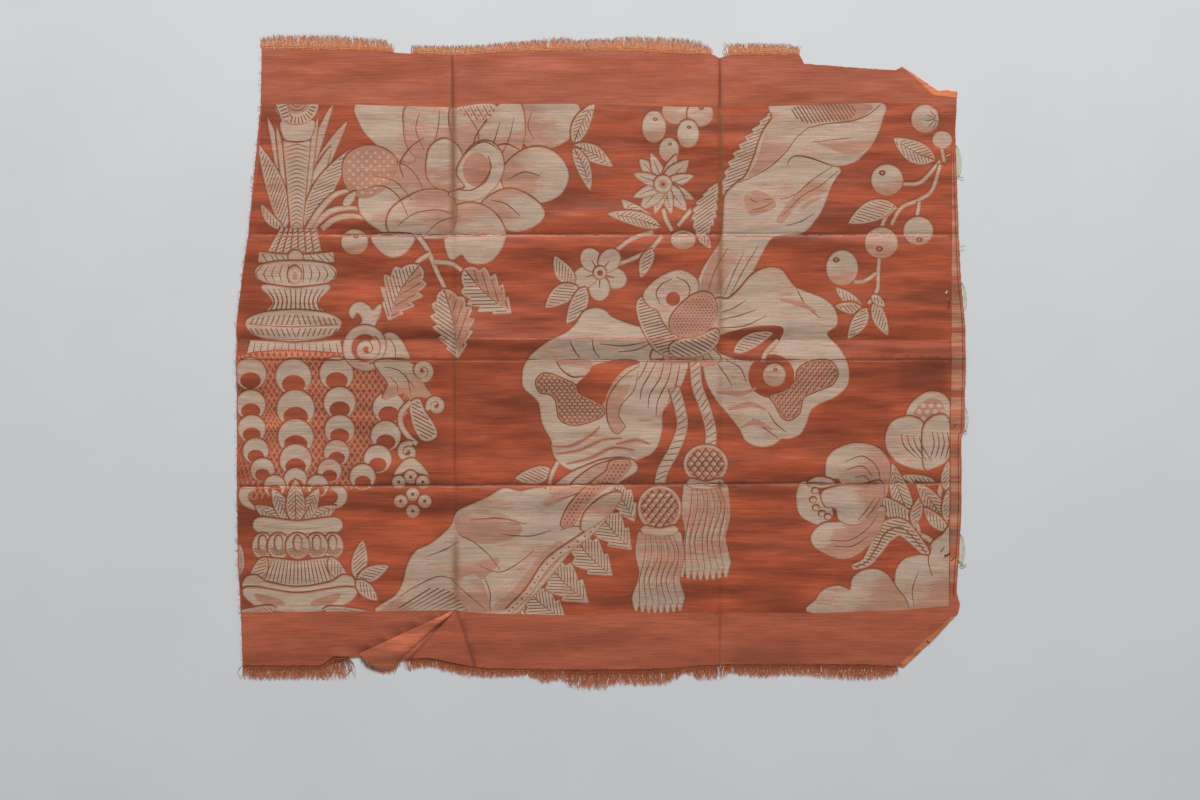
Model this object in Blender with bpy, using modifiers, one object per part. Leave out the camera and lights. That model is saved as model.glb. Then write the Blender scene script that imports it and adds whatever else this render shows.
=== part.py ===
"""Brocade panel: one woven sheet lying flat, with fold creases, a fan pleat and frayed fringes.

Run it in Blender 4.5. The tables are in millimetres and the model is in metres, with +Z up. The
origin lies on the floor under the middle of the panel. +X runs across the cloth, from the cut
side to the selvedge, and +Y runs along the warp, from the bottom fringe to the top one.
"""
import math
import random

import bmesh
import bpy
from mathutils import Vector

MM = 0.001
MERGE_DISTANCE = 0.000001

# Driving dimensions, in millimetres.
CLOTH_THICKNESS = 1.0
HALF_WIDTH = 273.0
FOLD_RADIUS = 0.66
HIDDEN_WIDTH = 8.0
FOLD_CLOSES = 24.0
FOLD_STEPS = 4
FRINGE_GAP = 0.3
STRIP_DEPTH = 1.8
LOCK_PITCH = 3.1
LOCK_WIDTH = 2.2
LOCK_WIDTH_SPREAD = (0.85, 1.1)
LOCK_WAIST_PLACE = 0.55
LOCK_WAIST_WIDTH = 0.8
LOCK_LEAN = 0.5
LOCK_SEED = 7
LONG_LOCK_EVERY = 3
SHORT_LOCKS = (0.72, 0.98)
TIP_REACH = 5.4
TIP_THINNING = 0.4

# Heights of the folds above the floor, in millimetres.
CROSS_SWELL = 1.0
CROSS_REACH = 26.0
RIDGE_HEIGHT = 3.0
RIDGE_REACH = 40.0
VALLEY_BANK = 1.3
VALLEY_BANK_OFFSET = 7.0
VALLEY_CREST = 2.2
LENGTH_SWELL = 0.9
LENGTH_REACH = 16.0
SIDE_FADE = 12.0
PANEL_SWELL = 0.8

# A swell beside a fold is share * (1 - share) ** 2, which peaks at this value.
FOLD_SWELL_PEAK = 4.0 / 27.0

# The lengthwise folds lie flat from these two lines outwards.
TOP_FADE_Y = 228.0
HEM_FADE_Y = -226.0
HEM_FADE = 14.0

# The hem curls up at one place beside the fan pleat.
CURL_HEIGHT = 1.5
CURL_X = -195.0
CURL_HALF_WIDTH = 9.0
CURL_TOP_Y = -208.0
CURL_DEPTH = 12.0

# The two lengthwise folds: the first slants down to the point of the fan pleat.
FOLD_ONE_TOP = (-111.4, 230.0)
FAN_POINT = (-108.8, -184.9)
FOLD_TWO_X = 89.0

# The crosswise folds.
FOLD_UPPER_Y = 96.4
RIDGE_Y = 16.9
FOLD_MIDDLE_Y = 2.6
FOLD_LOWER_Y = -92.6
FOLD_LOWER_RISE = 3.0

# Outline of the cut side: y, x.
CUT_SIDE = (
    (-228.4, -268.5),
    (-188.0, -270.0),
    (-142.0, -272.5),
    (-30.0, -HALF_WIDTH),
    (30.0, -HALF_WIDTH),
    (65.0, -269.0),
    (98.0, -264.0),
    (122.0, -262.0),
    (193.0, -255.0),
    (234.4, -254.3),
)

# Outline of the selvedge, from the slanting cut at the lower corner: y, x.
SELVEDGE = (
    (-228.4, 226.5),
    (-212.6, 243.5),
    (-204.4, 252.0),
    (-192.8, 262.5),
    (-187.9, 267.5),
    (-182.0, 269.0),
    (-171.0, 266.5),
    (-150.0, 268.0),
    (-113.0, 270.0),
    (-56.0, 270.0),
    (-50.0, 272.3),
    (-13.0, HALF_WIDTH),
    (24.0, HALF_WIDTH),
    (47.0, 271.0),
    (69.0, 269.3),
    (99.0, 267.8),
    (174.0, 265.5),
    (202.9, 267.0),
)

# Columns from the cut side to the first fold: share across, top y, hem x, hem y.
CUT_COLUMNS = (
    (0.0, 234.4, -268.5, -226.9),
    (0.2, 234.2, -247.5, -226.9),
    (0.357, 234.0, -228.8, -227.0),
    (0.593, 233.3, -210.0, -226.9),
    (0.714, 232.1, -200.3, -220.1),
    (0.856, 230.6, -188.3, -220.5),
    (0.932, 230.3, -180.8, -220.9),
    (0.979, 229.9, -176.3, -220.5),
)

# Columns from the first fold to the second: share across, top y, hem x, hem y.
MIDDLE_COLUMNS = (
    (0.0, 229.7, -93.8, -228.0),
    (0.017, 229.9, -90.0, -228.4),
    (0.054, 230.3, -82.5, -229.1),
    (0.197, 232.4, -57.8, -229.5),
    (0.421, 233.3, -17.3, -229.9),
    (0.642, 233.3, 22.5, -229.9),
    (0.822, 231.4, 55.5, -228.8),
    (0.938, 230.6, 77.3, -226.9),
    (0.981, 230.3, 85.0, -226.5),
)

# Columns from the second fold to the selvedge: share across, top y, hem x, hem y.
SELVEDGE_COLUMNS = (
    (0.0, 228.0, 89.0, -226.5),
    (0.021, 229.5, 92.0, -226.4),
    (0.086, 230.3, 101.0, -226.1),
    (0.192, 230.4, 115.6, -226.0),
    (0.335, 230.3, 135.3, -226.0),
    (0.356, 223.9, 138.2, -226.0),
    (0.575, 220.9, 168.2, -226.1),
    (0.739, 219.0, 190.7, -226.1),
    (0.768, 221.6, 194.7, -226.1),
    (0.811, 216.8, 200.6, -226.3),
    (0.865, 210.0, 208.0, -226.5),
    (0.924, 203.3, 216.1, -226.9),
    (0.954, 204.4, 220.2, -227.3),
    (1.0, 202.9, 226.5, -228.4),
)

# Hem of the loose flap, from its folded edge to the sharp crease: share across, x, y.
FLAP_HEM = (
    (0.0, -180.8, -217.9),
    (0.2, -174.8, -223.9),
    (0.4, -166.5, -226.9),
    (0.6, -159.0, -227.3),
    (0.8, -151.5, -223.9),
    (1.0, -144.8, -222.4),
)

# Hem of the fan's second panel, between the sharp crease and the soft one: share across, x, y.
PANEL_HEM = (
    (0.33, -128.3, -221.3),
    (0.67, -105.8, -226.1),
)

# Directions of the fan pleat, from its point: along the folded edge and across it.
FLAP_EDGE = Vector((FLAP_HEM[0][1] - FAN_POINT[0], FLAP_HEM[0][2] - FAN_POINT[1]))
FLAP_EDGE_LENGTH = FLAP_EDGE.length
ALONG_EDGE = FLAP_EDGE.normalized()
ACROSS_EDGE = Vector((-ALONG_EDGE.y, ALONG_EDGE.x))
SHARP_CREASE = Vector((FLAP_HEM[-1][1] - FAN_POINT[0], FLAP_HEM[-1][2] - FAN_POINT[1]))
FLAP_SPREAD = math.tan(SHARP_CREASE.angle(FLAP_EDGE))

# The hidden layer ends this far from the fan's point, and the flap is level over this share.
HIDDEN_HEM_REACH = 71.3
FLAP_LEVEL_LIMIT = 0.6

# Rows round each crosswise fold: y at the cut side, y at the selvedge, offsets of the rows.
CROSS_FOLDS = (
    (FOLD_UPPER_Y, FOLD_UPPER_Y, (26.0, 15.0, 6.0, 0.0, -6.0, -15.0, -26.0)),
    (RIDGE_Y, RIDGE_Y, (38.0, 24.0, 12.0, 5.0, 0.0, -5.0, -9.0)),
    (FOLD_MIDDLE_Y, FOLD_MIDDLE_Y, (0.0, -7.0, -16.0, -30.0)),
    (FOLD_LOWER_Y, FOLD_LOWER_Y + FOLD_LOWER_RISE, (26.0, 15.0, 6.0, 0.0, -6.0, -15.0, -26.0)),
)
PLAIN_ROWS = (195.0, 158.0, -142.0, -165.0)
BAND_SHARES = (0.0, 0.08, 0.18, 0.32, 0.48, 0.66, 0.84, 1.0)
CORNER_BULGE = 2.6

# Broad soft swells of the figured field: x, y, half width, half length, height.
SWELLS = (
    (119.0, -157.0, 130.0, 36.0, 2.0),
    (180.0, -24.0, 70.0, 24.0, 1.2),
    (-190.0, -40.0, 60.0, 30.0, 0.8),
    (60.0, 165.0, 120.0, 34.0, 0.7),
)

# Tips of the fringes: x, y.
TIPS_TOP_LEFT = (
    (-254.3, 245.0),
    (-248.0, 247.0),
    (-200.0, 247.0),
    (-175.0, 245.0),
    (-162.0, 243.4),
    (-156.5, 239.6),
)
TIPS_TOP_MIDDLE = (
    (-142.0, 239.3),
    (-125.0, 239.0),
    (-91.0, 239.6),
    (-58.5, 242.8),
    (-28.5, 245.6),
    (-17.0, 243.4),
    (29.0, 246.4),
    (55.0, 245.0),
    (72.0, 242.8),
    (83.0, 237.0),
)
TIPS_TOP_RIGHT = (
    (95.3, 241.0),
    (135.8, 240.5),
    (147.0, 239.3),
)
TIPS_BOTTOM_LEFT = (
    (-268.5, -238.1),
    (-255.0, -239.6),
    (-190.5, -238.9),
)
TIPS_BOTTOM_FLAP = (
    (-180.0, -224.6),
    (-174.0, -230.6),
    (-165.8, -234.4),
    (-157.5, -235.1),
    (-153.0, -231.4),
    (-150.0, -227.6),
)
TIPS_BOTTOM_MIDDLE = (
    (-144.0, -232.5),
    (-128.0, -229.9),
    (-105.0, -236.3),
    (-82.5, -238.1),
    (-55.5, -236.3),
    (-42.8, -242.6),
    (-30.0, -239.5),
    (-16.0, -247.0),
    (-3.0, -247.0),
    (11.3, -243.4),
    (40.0, -244.1),
    (52.5, -240.8),
    (64.5, -234.4),
    (75.0, -239.9),
    (88.5, -238.9),
)
TIPS_BOTTOM_RIGHT = (
    (91.5, -238.5),
    (94.0, -234.4),
    (120.8, -238.1),
    (140.3, -235.9),
    (176.3, -238.9),
    (198.0, -240.2),
    (210.8, -238.7),
    (220.5, -235.5),
)

# Materials: name, linear colour, roughness.
CLOTH_LOOK = ("terracotta_silk", (0.42, 0.11, 0.055), 0.55)
FRINGE_LOOK = ("frayed_warp", (0.56, 0.17, 0.06), 0.6)


def read_table(rows, value):
    """Read a two-column table on straight lines between its rows, flat beyond its ends."""
    if value <= rows[0][0]:
        return rows[0][1]
    for (low, low_value), (high, high_value) in zip(rows, rows[1:]):
        if value <= high:
            return low_value + (high_value - low_value) * (value - low) / (high - low)
    return rows[-1][1]


def smooth(share):
    """Ease from 0 to 1, level at both ends."""
    share = min(max(share, 0.0), 1.0)
    return share * share * (3.0 - 2.0 * share)


def blend(start, end, share):
    return start + (end - start) * share


def fold_swell(distance, reach):
    """Height beside a pressed fold: 0 on it, 1 at a third of its reach, and 0 again past it."""
    share = min(abs(distance) / reach, 1.0)
    return share * (1.0 - share) ** 2 / FOLD_SWELL_PEAK


def fold_one_x(y):
    top_x, top_y = FOLD_ONE_TOP
    point_x, point_y = FAN_POINT
    return blend(point_x, top_x, min((y - point_y) / (top_y - point_y), 1.0))


def ridge_height(y):
    """Section of the soft ridge between the lengthwise folds: a crest, then a short fall."""
    if y >= RIDGE_Y:
        share = min((y - RIDGE_Y) / RIDGE_REACH, 1.0)
        return RIDGE_HEIGHT * (1.0 - share) ** 2
    share = max((y - FOLD_MIDDLE_Y) / (RIDGE_Y - FOLD_MIDDLE_Y), 0.0)
    return RIDGE_HEIGHT * share


def valley_height(y):
    """Section outside the lengthwise folds, where the same line is pressed the other way."""
    section = (
        (RIDGE_Y - RIDGE_REACH, 0.0),
        (FOLD_MIDDLE_Y, VALLEY_CREST),
        (RIDGE_Y, 0.0),
        (RIDGE_Y + VALLEY_BANK_OFFSET, VALLEY_BANK),
        (RIDGE_Y + RIDGE_REACH, 0.0),
    )
    return read_table(section, y)


def field_lift(x, y):
    """Height of the underside above the floor, away from the fan pleat."""
    upper = CROSS_SWELL * fold_swell(y - FOLD_UPPER_Y, CROSS_REACH)
    lower_y = FOLD_LOWER_Y + FOLD_LOWER_RISE * (x + HALF_WIDTH) / (2.0 * HALF_WIDTH)
    lower = CROSS_SWELL * fold_swell(y - lower_y, CROSS_REACH)
    inside_one = smooth(0.5 + (x - fold_one_x(y)) / (2.0 * SIDE_FADE))
    inside_two = smooth(0.5 - (x - FOLD_TWO_X) / (2.0 * SIDE_FADE))
    inside = inside_one * inside_two
    middle = blend(valley_height(y), ridge_height(y), inside)
    from_top = smooth((TOP_FADE_Y - y) / HEM_FADE)
    from_hem = smooth((y - HEM_FADE_Y) / HEM_FADE)
    fold_one = fold_swell(x - fold_one_x(y), LENGTH_REACH) if y > FAN_POINT[1] else 0.0
    fold_two = fold_swell(x - FOLD_TWO_X, LENGTH_REACH)
    lengthwise = LENGTH_SWELL * max(fold_one, fold_two) * from_top * from_hem
    swells = 0.0
    for centre_x, centre_y, half_width, half_length, height in SWELLS:
        across = max(1.0 - ((x - centre_x) / half_width) ** 2, 0.0)
        along = max(1.0 - ((y - centre_y) / half_length) ** 2, 0.0)
        swells += height * (across * along) ** 2
    return upper + lower + middle + lengthwise + swells


def fold_path(reach):
    """Section through the folded edge at one distance from the fan's point: (along, up) pairs.

    It turns up and back under the flap, runs back along the hidden layer and turns over again.
    """
    turn = math.pi * smooth(reach / FOLD_CLOSES)
    path = [(0.0, 0.0)]
    for step in range(1, FOLD_STEPS + 1):
        angle = turn * step / FOLD_STEPS
        path.append((FOLD_RADIUS * math.sin(angle), FOLD_RADIUS * (1.0 - math.cos(angle))))
    hidden = HIDDEN_WIDTH * reach / FLAP_EDGE_LENGTH
    along = path[-1][0] + hidden * math.cos(turn)
    up = path[-1][1] + hidden * math.sin(turn)
    path.append((along, up))
    for step in range(1, FOLD_STEPS + 1):
        angle = turn * (1.0 - step / FOLD_STEPS)
        path.append((
            along + FOLD_RADIUS * (math.sin(turn) - math.sin(angle)),
            up + FOLD_RADIUS * (math.cos(angle) - math.cos(turn)),
        ))
    shift = -min(point[0] for point in path)
    return [(point[0] + shift, point[1]) for point in path]


def flap_height(share, reach):
    """Height of the flap from its folded edge (share 0) down to the sharp crease (share 1)."""
    path = fold_path(reach)
    level = (path[0][0] + FOLD_RADIUS) / max(reach * FLAP_SPREAD, FOLD_RADIUS)
    level = min(level, FLAP_LEVEL_LIMIT)
    return path[-1][1] * (1.0 - smooth((share - level) / (1.0 - level)))


def row_heights():
    """Rows of the figured field, top to bottom: y at the cut side and y at the selvedge."""
    rows = [(y, y) for y in PLAIN_ROWS]
    for left, right, offsets in CROSS_FOLDS:
        rows += [(left + offset, right + offset) for offset in offsets]
    rows.append((FAN_POINT[1], FAN_POINT[1]))
    return sorted(rows, reverse=True)


def column_x(block, share, y):
    """Place across the cloth at height y of a column of one of the three widths."""
    edges = (read_table(CUT_SIDE, y), fold_one_x(y), FOLD_TWO_X, read_table(SELVEDGE, y))
    return blend(edges[block], edges[block + 1], share)


def field_point(block, column, row):
    """Point of the middle surface in the figured field; row None is the top edge."""
    share, top_y = column[0], column[1]
    y = top_y if row is None else row[0]
    x = column_x(block, share, y)
    if row is not None:
        y = blend(row[0], row[1], (x + HALF_WIDTH) / (2.0 * HALF_WIDTH))
        x = column_x(block, share, y)
    return x, y, field_lift(x, y)


def band_point(block, column, share):
    """Point of the plain band below the fan's point, outside the fan."""
    across, _, hem_x, hem_y = column
    x = blend(column_x(block, across, FAN_POINT[1]), hem_x, share)
    y = blend(FAN_POINT[1], hem_y, share)
    if block == 2:
        x += CORNER_BULGE * across * 4.0 * share * (1.0 - share)
    if block > 0:
        return x, y, field_lift(x, y)
    curl = max(1.0 - ((x - CURL_X) / CURL_HALF_WIDTH) ** 2, 0.0)
    return x, y, CURL_HEIGHT * curl * smooth((CURL_TOP_Y - y) / CURL_DEPTH)


def fan_points(share):
    """Points of the fan at one share of the way from its point to the hem."""
    reach = share * FLAP_EDGE_LENGTH
    path = fold_path(reach)
    points = []
    for index, (along, up) in enumerate(path):
        edge_reach = share * blend(HIDDEN_HEM_REACH, FLAP_EDGE_LENGTH, index / (len(path) - 1))
        place = Vector(FAN_POINT) + ALONG_EDGE * edge_reach + ACROSS_EDGE * along
        points.append((place.x, place.y, up))
    for across, hem_x, hem_y in FLAP_HEM[1:]:
        inset = ACROSS_EDGE * (1.0 - across) * path[-1][0]
        x = blend(FAN_POINT[0], hem_x, share) + inset.x
        y = blend(FAN_POINT[1], hem_y, share) + inset.y
        points.append((x, y, flap_height(across, reach)))
    for across, hem_x, hem_y in PANEL_HEM:
        x = blend(FAN_POINT[0], hem_x, share)
        y = blend(FAN_POINT[1], hem_y, share)
        points.append((x, y, PANEL_SWELL * share))
    return points


def cloth_rows():
    """Rows of points over the whole sheet; above the fan its columns meet on the first fold."""
    fan_columns = len(fan_points(1.0))
    rows = []
    for row in [None] + row_heights():
        left = [field_point(0, column, row) for column in CUT_COLUMNS]
        middle = [field_point(1, column, row) for column in MIDDLE_COLUMNS]
        right = [field_point(2, column, row) for column in SELVEDGE_COLUMNS]
        rows.append(left + [middle[0]] * fan_columns + middle + right)
    for share in BAND_SHARES[1:]:
        left = [band_point(0, column, share) for column in CUT_COLUMNS]
        middle = [band_point(1, column, share) for column in MIDDLE_COLUMNS]
        right = [band_point(2, column, share) for column in SELVEDGE_COLUMNS]
        rows.append(left + fan_points(share) + middle + right)
    return rows


def make_material(look):
    name, colour, roughness = look
    material = bpy.data.materials.new(name)
    material.use_nodes = True
    shader = material.node_tree.nodes["Principled BSDF"]
    shader.inputs["Base Color"].default_value = (*colour, 1.0)
    shader.inputs["Roughness"].default_value = roughness
    shader.inputs["Metallic"].default_value = 0.0
    return material


def add_object(name, mesh, collection, material):
    piece = bpy.data.objects.new(name, mesh)
    mesh.materials.append(material)
    collection.objects.link(piece)
    return piece


def make_cloth(collection, material):
    """The woven sheet: a grid laid on its rows of points, then given its thickness."""
    rows = cloth_rows()
    last_row = len(rows) - 1
    last_column = len(rows[0]) - 1
    mesh = bpy.data.meshes.new("cloth")
    grid = bmesh.new()
    bmesh.ops.create_grid(grid, x_segments=last_column, y_segments=last_row, size=0.5)
    for vert in grid.verts:
        column = round((vert.co.x + 0.5) * last_column)
        row = round((0.5 - vert.co.y) * last_row)
        x, y, lift = rows[row][column]
        vert.co = Vector((x, y, lift + CLOTH_THICKNESS / 2.0)) * MM
    bmesh.ops.remove_doubles(grid, verts=grid.verts, dist=MERGE_DISTANCE)
    bmesh.ops.recalc_face_normals(grid, faces=grid.faces)
    grid.to_mesh(mesh)
    grid.free()
    mesh.shade_smooth()
    piece = add_object("cloth", mesh, collection, material)
    thickness = piece.modifiers.new("thickness", "SOLIDIFY")
    thickness.thickness = CLOTH_THICKNESS * MM
    thickness.offset = 0.0
    return piece


def edge_offset(edge, x, side, offset):
    """Y of a line that runs a given distance outside the cloth's edge."""
    for (x0, y0), (x1, y1) in zip(edge, edge[1:]):
        if x <= x1 or (x1, y1) == edge[-1]:
            slope = (y1 - y0) / (x1 - x0)
            return y0 + slope * (x - x0) + side * offset * math.hypot(1.0, slope)
    raise ValueError("the edge has too few points")


def lock_outline(root_x, root_y, tip_y, width, draw):
    """Corners of one lock, from its left root round its tip to its right root."""
    bend = draw.uniform(-LOCK_LEAN, LOCK_LEAN)
    lean = bend + draw.uniform(-LOCK_LEAN, LOCK_LEAN) / 2.0
    waist_x = root_x + bend / 2.0
    waist_y = blend(root_y, tip_y, LOCK_WAIST_PLACE)
    half = width / 2.0
    return [
        (root_x - half, root_y),
        (waist_x - half * LOCK_WAIST_WIDTH, waist_y),
        (root_x + lean, tip_y),
        (waist_x + half * LOCK_WAIST_WIDTH, waist_y),
        (root_x + half, root_y),
    ]


def fringe_outline(edge, spans, side, tips, draw):
    """Outline of a backing strip with its locks: out along the cloth, back round every lock."""
    start, end = spans[0][0], spans[-1][1]
    corners = [x for x, _ in edge if start < x < end]
    inner = [(x, edge_offset(edge, x, side, FRINGE_GAP)) for x in [start] + corners + [end]]
    root_offset = FRINGE_GAP + STRIP_DEPTH
    outer = [(x, edge_offset(edge, x, side, root_offset)) for x in (start, end)]
    locks = []
    for span_start, span_end in spans:
        count = int((span_end - span_start) / LOCK_PITCH)
        pitch = (span_end - span_start) / count
        for index in range(count):
            x = span_start + pitch * (index + 0.5)
            root_y = edge_offset(edge, x, side, root_offset)
            length = abs(read_table(tips, x) - root_y)
            length *= 1.0 if index % LONG_LOCK_EVERY == 0 else draw.uniform(*SHORT_LOCKS)
            width = LOCK_WIDTH * draw.uniform(*LOCK_WIDTH_SPREAD)
            locks.append(lock_outline(x, root_y, root_y + side * length, width, draw))
    outer_points = [outer[0]] + [point for lock in locks for point in lock] + [outer[1]]
    return inner + outer_points[::-1]


def flap_share(x):
    return read_table(tuple((row[1], row[0]) for row in FLAP_HEM), x)


def flap_fringe_lift(x, y):
    """Underside of the flap's fringe: level with the flap at the hem, down to the floor."""
    hem_y = read_table(tuple((row[1], row[2]) for row in FLAP_HEM), x)
    tip_y = read_table(TIPS_BOTTOM_FLAP, x)
    fallen = smooth((hem_y - STRIP_DEPTH - y) / max(hem_y - STRIP_DEPTH - tip_y, STRIP_DEPTH))
    return flap_height(flap_share(x), FLAP_EDGE_LENGTH) * (1.0 - fallen)


def floor_lift(x, y):
    return 0.0


def make_fringe(name, outline, tips, lift, collection, material):
    """A flat filled outline with thickness; each lock thins from its root to its tip."""
    curve = bpy.data.curves.new(name, "CURVE")
    curve.dimensions = "2D"
    curve.fill_mode = "BOTH"
    curve.extrude = CLOTH_THICKNESS * MM / 2.0
    spline = curve.splines.new("POLY")
    spline.points.add(len(outline) - 1)
    for point, (x, y) in zip(spline.points, outline):
        point.co = (x * MM, y * MM, 0.0, 1.0)
    spline.use_cyclic_u = True
    flat = bpy.data.objects.new(name + "_outline", curve)
    collection.objects.link(flat)
    graph = bpy.context.evaluated_depsgraph_get()
    mesh = bpy.data.meshes.new_from_object(flat.evaluated_get(graph))
    mesh.name = name
    bpy.data.objects.remove(flat)
    shape = bmesh.new()
    shape.from_mesh(mesh)
    bmesh.ops.remove_doubles(shape, verts=shape.verts, dist=MERGE_DISTANCE)
    for vert in shape.verts:
        x, y = vert.co.x / MM, vert.co.y / MM
        near_tip = 1.0 - smooth(abs(y - read_table(tips, x)) / TIP_REACH)
        height = CLOTH_THICKNESS * (1.0 - TIP_THINNING * near_tip)
        vert.co.z = (lift(x, y) + (height if vert.co.z > 0.0 else 0.0)) * MM
    bmesh.ops.recalc_face_normals(shape, faces=shape.faces)
    shape.to_mesh(mesh)
    shape.free()
    mesh.materials.clear()
    return add_object(name, mesh, collection, material)


def top_edge():
    points = []
    for block, columns in enumerate((CUT_COLUMNS, MIDDLE_COLUMNS, SELVEDGE_COLUMNS)):
        points += [field_point(block, column, None)[:2] for column in columns]
    return points


def make_fringes(collection, material):
    """The seven frayed stretches, each on its own backing strip."""
    cut_hem = [column[2:] for column in CUT_COLUMNS]
    edge_end = 2 * FOLD_STEPS + 1
    flap_hem = [point[:2] for point in fan_points(1.0)[edge_end:edge_end + len(FLAP_HEM)]]
    middle_hem = flap_hem[-1:] + [row[1:] for row in PANEL_HEM]
    middle_hem += [column[2:] for column in MIDDLE_COLUMNS + SELVEDGE_COLUMNS[:1]]
    right_hem = [column[2:] for column in SELVEDGE_COLUMNS]
    top = top_edge()
    fringes = (
        ("fringe_top_left", top, ((-253.8, -156.5),), 1, TIPS_TOP_LEFT, floor_lift),
        ("fringe_top_middle", top, ((-141.5, 83.0),), 1, TIPS_TOP_MIDDLE, floor_lift),
        ("fringe_top_right", top, ((95.3, 147.8),), 1, TIPS_TOP_RIGHT, floor_lift),
        ("fringe_bottom_left", cut_hem, ((-268.0, -209.5), (-203.0, -190.5)), -1,
         TIPS_BOTTOM_LEFT, floor_lift),
        ("fringe_bottom_flap", flap_hem, ((-178.5, -150.5),), -1,
         TIPS_BOTTOM_FLAP, flap_fringe_lift),
        ("fringe_bottom_middle", middle_hem, ((-144.0, 88.0),), -1,
         TIPS_BOTTOM_MIDDLE, floor_lift),
        ("fringe_bottom_right", right_hem, ((91.0, 221.0),), -1,
         TIPS_BOTTOM_RIGHT, floor_lift),
    )
    draw = random.Random(LOCK_SEED)
    for name, edge, spans, side, tips, lift in fringes:
        outline = fringe_outline(edge, spans, side, tips, draw)
        make_fringe(name, outline, tips, lift, collection, material)


def main():
    for item in list(bpy.data.objects):
        bpy.data.objects.remove(item)
    collection = bpy.data.collections.new("brocade_panel")
    bpy.context.scene.collection.children.link(collection)
    make_cloth(collection, make_material(CLOTH_LOOK))
    make_fringes(collection, make_material(FRINGE_LOOK))


main()
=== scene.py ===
"""Looks of the brocade panel: the figured sheet, its frayed ends and the traces of its use.

Lengths are in millimetres in the panel's frame, with +Z up out of the pattern side. The woven
design is drafted on squared paper, as a weaver drafts one: its places count squares of the draft,
across from the draft's left edge and down from its top edge. One square is one pixel of the
1200 x 800 photograph, and the places of the motifs and their outlines were set from it.
"""

import math
import random

import bpy
import numpy as np
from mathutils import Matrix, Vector
from mathutils.geometry import delaunay_2d_cdt


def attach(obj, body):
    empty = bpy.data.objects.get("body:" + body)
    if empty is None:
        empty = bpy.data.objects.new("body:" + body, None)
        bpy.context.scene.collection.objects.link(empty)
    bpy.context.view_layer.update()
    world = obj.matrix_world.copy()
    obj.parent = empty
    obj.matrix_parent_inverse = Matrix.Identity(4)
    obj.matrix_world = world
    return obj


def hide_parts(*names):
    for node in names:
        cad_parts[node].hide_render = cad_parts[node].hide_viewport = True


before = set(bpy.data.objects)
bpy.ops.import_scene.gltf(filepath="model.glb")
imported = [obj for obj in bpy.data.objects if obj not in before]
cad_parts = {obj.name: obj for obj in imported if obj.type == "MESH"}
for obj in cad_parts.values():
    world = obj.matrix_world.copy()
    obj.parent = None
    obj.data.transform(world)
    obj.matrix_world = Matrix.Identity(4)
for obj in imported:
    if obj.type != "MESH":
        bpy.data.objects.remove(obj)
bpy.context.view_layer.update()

MM = 0.001
DRAFT_SQUARE = 0.75
DRAFT_CENTRE = (601.0, 362.5)

# The sheet, in millimetres. The solid is thicker than the silk, and both share a middle surface.
SOLID_THICKNESS = 1.0
SILK_THICKNESS = 0.8
HALF_WIDTH = 273.0
FOLD_RADIUS = 0.66
HIDDEN_WIDTH = 8.0
FOLD_CLOSES = 24.0

# Heights of the folds above the floor.
CROSS_SWELL = 1.0
CROSS_REACH = 26.0
RIDGE_HEIGHT = 3.0
RIDGE_REACH = 40.0
VALLEY_BANK = 1.3
VALLEY_BANK_OFFSET = 7.0
VALLEY_CREST = 2.2
LENGTH_SWELL = 0.9
LENGTH_REACH = 16.0
SIDE_FADE = 12.0
PANEL_SWELL = 0.8
FOLD_SWELL_PEAK = 4.0 / 27.0
TOP_FADE_Y = 228.0
HEM_FADE_Y = -226.0
HEM_FADE = 14.0
CURL_HEIGHT = 1.5
CURL_X = -195.0
CURL_HALF_WIDTH = 9.0
CURL_TOP_Y = -208.0
CURL_DEPTH = 12.0

# Places of the folds.
FOLD_ONE_TOP = (-111.4, 230.0)
FAN_POINT = (-108.8, -184.9)
FOLD_TWO_X = 89.0
FOLD_UPPER_Y = 96.4
RIDGE_Y = 16.9
FOLD_MIDDLE_Y = 2.6
FOLD_LOWER_Y = -92.6
FOLD_LOWER_RISE = 3.0

# Broad soft swells: x, y, half width, half length, height.
SWELLS = (
    (119.0, -157.0, 130.0, 36.0, 2.0),
    (180.0, -24.0, 70.0, 24.0, 1.2),
    (-190.0, -40.0, 60.0, 30.0, 0.8),
    (60.0, 165.0, 120.0, 34.0, 0.7),
)

# Outline of the sheet, clockwise from its lower left corner: x, y.
CUT_SIDE = (
    (-268.5, -226.9), (-270.0, -188.0), (-272.5, -142.0), (-273.0, -30.0), (-273.0, 30.0),
    (-269.0, 65.0), (-264.0, 98.0), (-262.0, 122.0), (-255.0, 193.0), (-254.3, 234.4),
)
TOP_EDGE = (
    (-254.3, 234.4), (-225.7, 234.2), (-203.3, 234.0), (-169.6, 233.3), (-152.3, 232.1),
    (-132.0, 230.6), (-121.1, 230.3), (-114.4, 229.9), (-111.4, 229.7), (-108.0, 229.9),
    (-100.6, 230.3), (-71.9, 232.4), (-27.0, 233.3), (17.3, 233.3), (53.3, 231.4),
    (76.6, 230.6), (85.2, 230.3), (89.0, 228.0), (92.7, 229.5), (104.3, 230.3),
    (123.2, 230.4), (148.7, 230.3), (152.4, 223.9), (191.3, 220.9), (220.5, 219.0),
    (225.7, 221.6), (233.4, 216.8), (243.0, 210.0), (253.5, 203.3), (258.8, 204.4),
    (267.0, 202.9),
)
SELVEDGE = (
    (267.0, 202.9), (265.5, 174.0), (267.8, 99.0), (269.3, 69.0), (271.0, 47.0), (273.0, 24.0),
    (273.0, -13.0), (272.3, -50.0), (270.0, -56.0), (270.0, -113.0), (268.0, -150.0),
    (266.5, -171.0), (269.0, -182.0), (267.5, -187.9), (262.5, -192.8), (252.0, -204.4),
    (243.5, -212.6), (226.5, -228.4),
)
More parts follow.
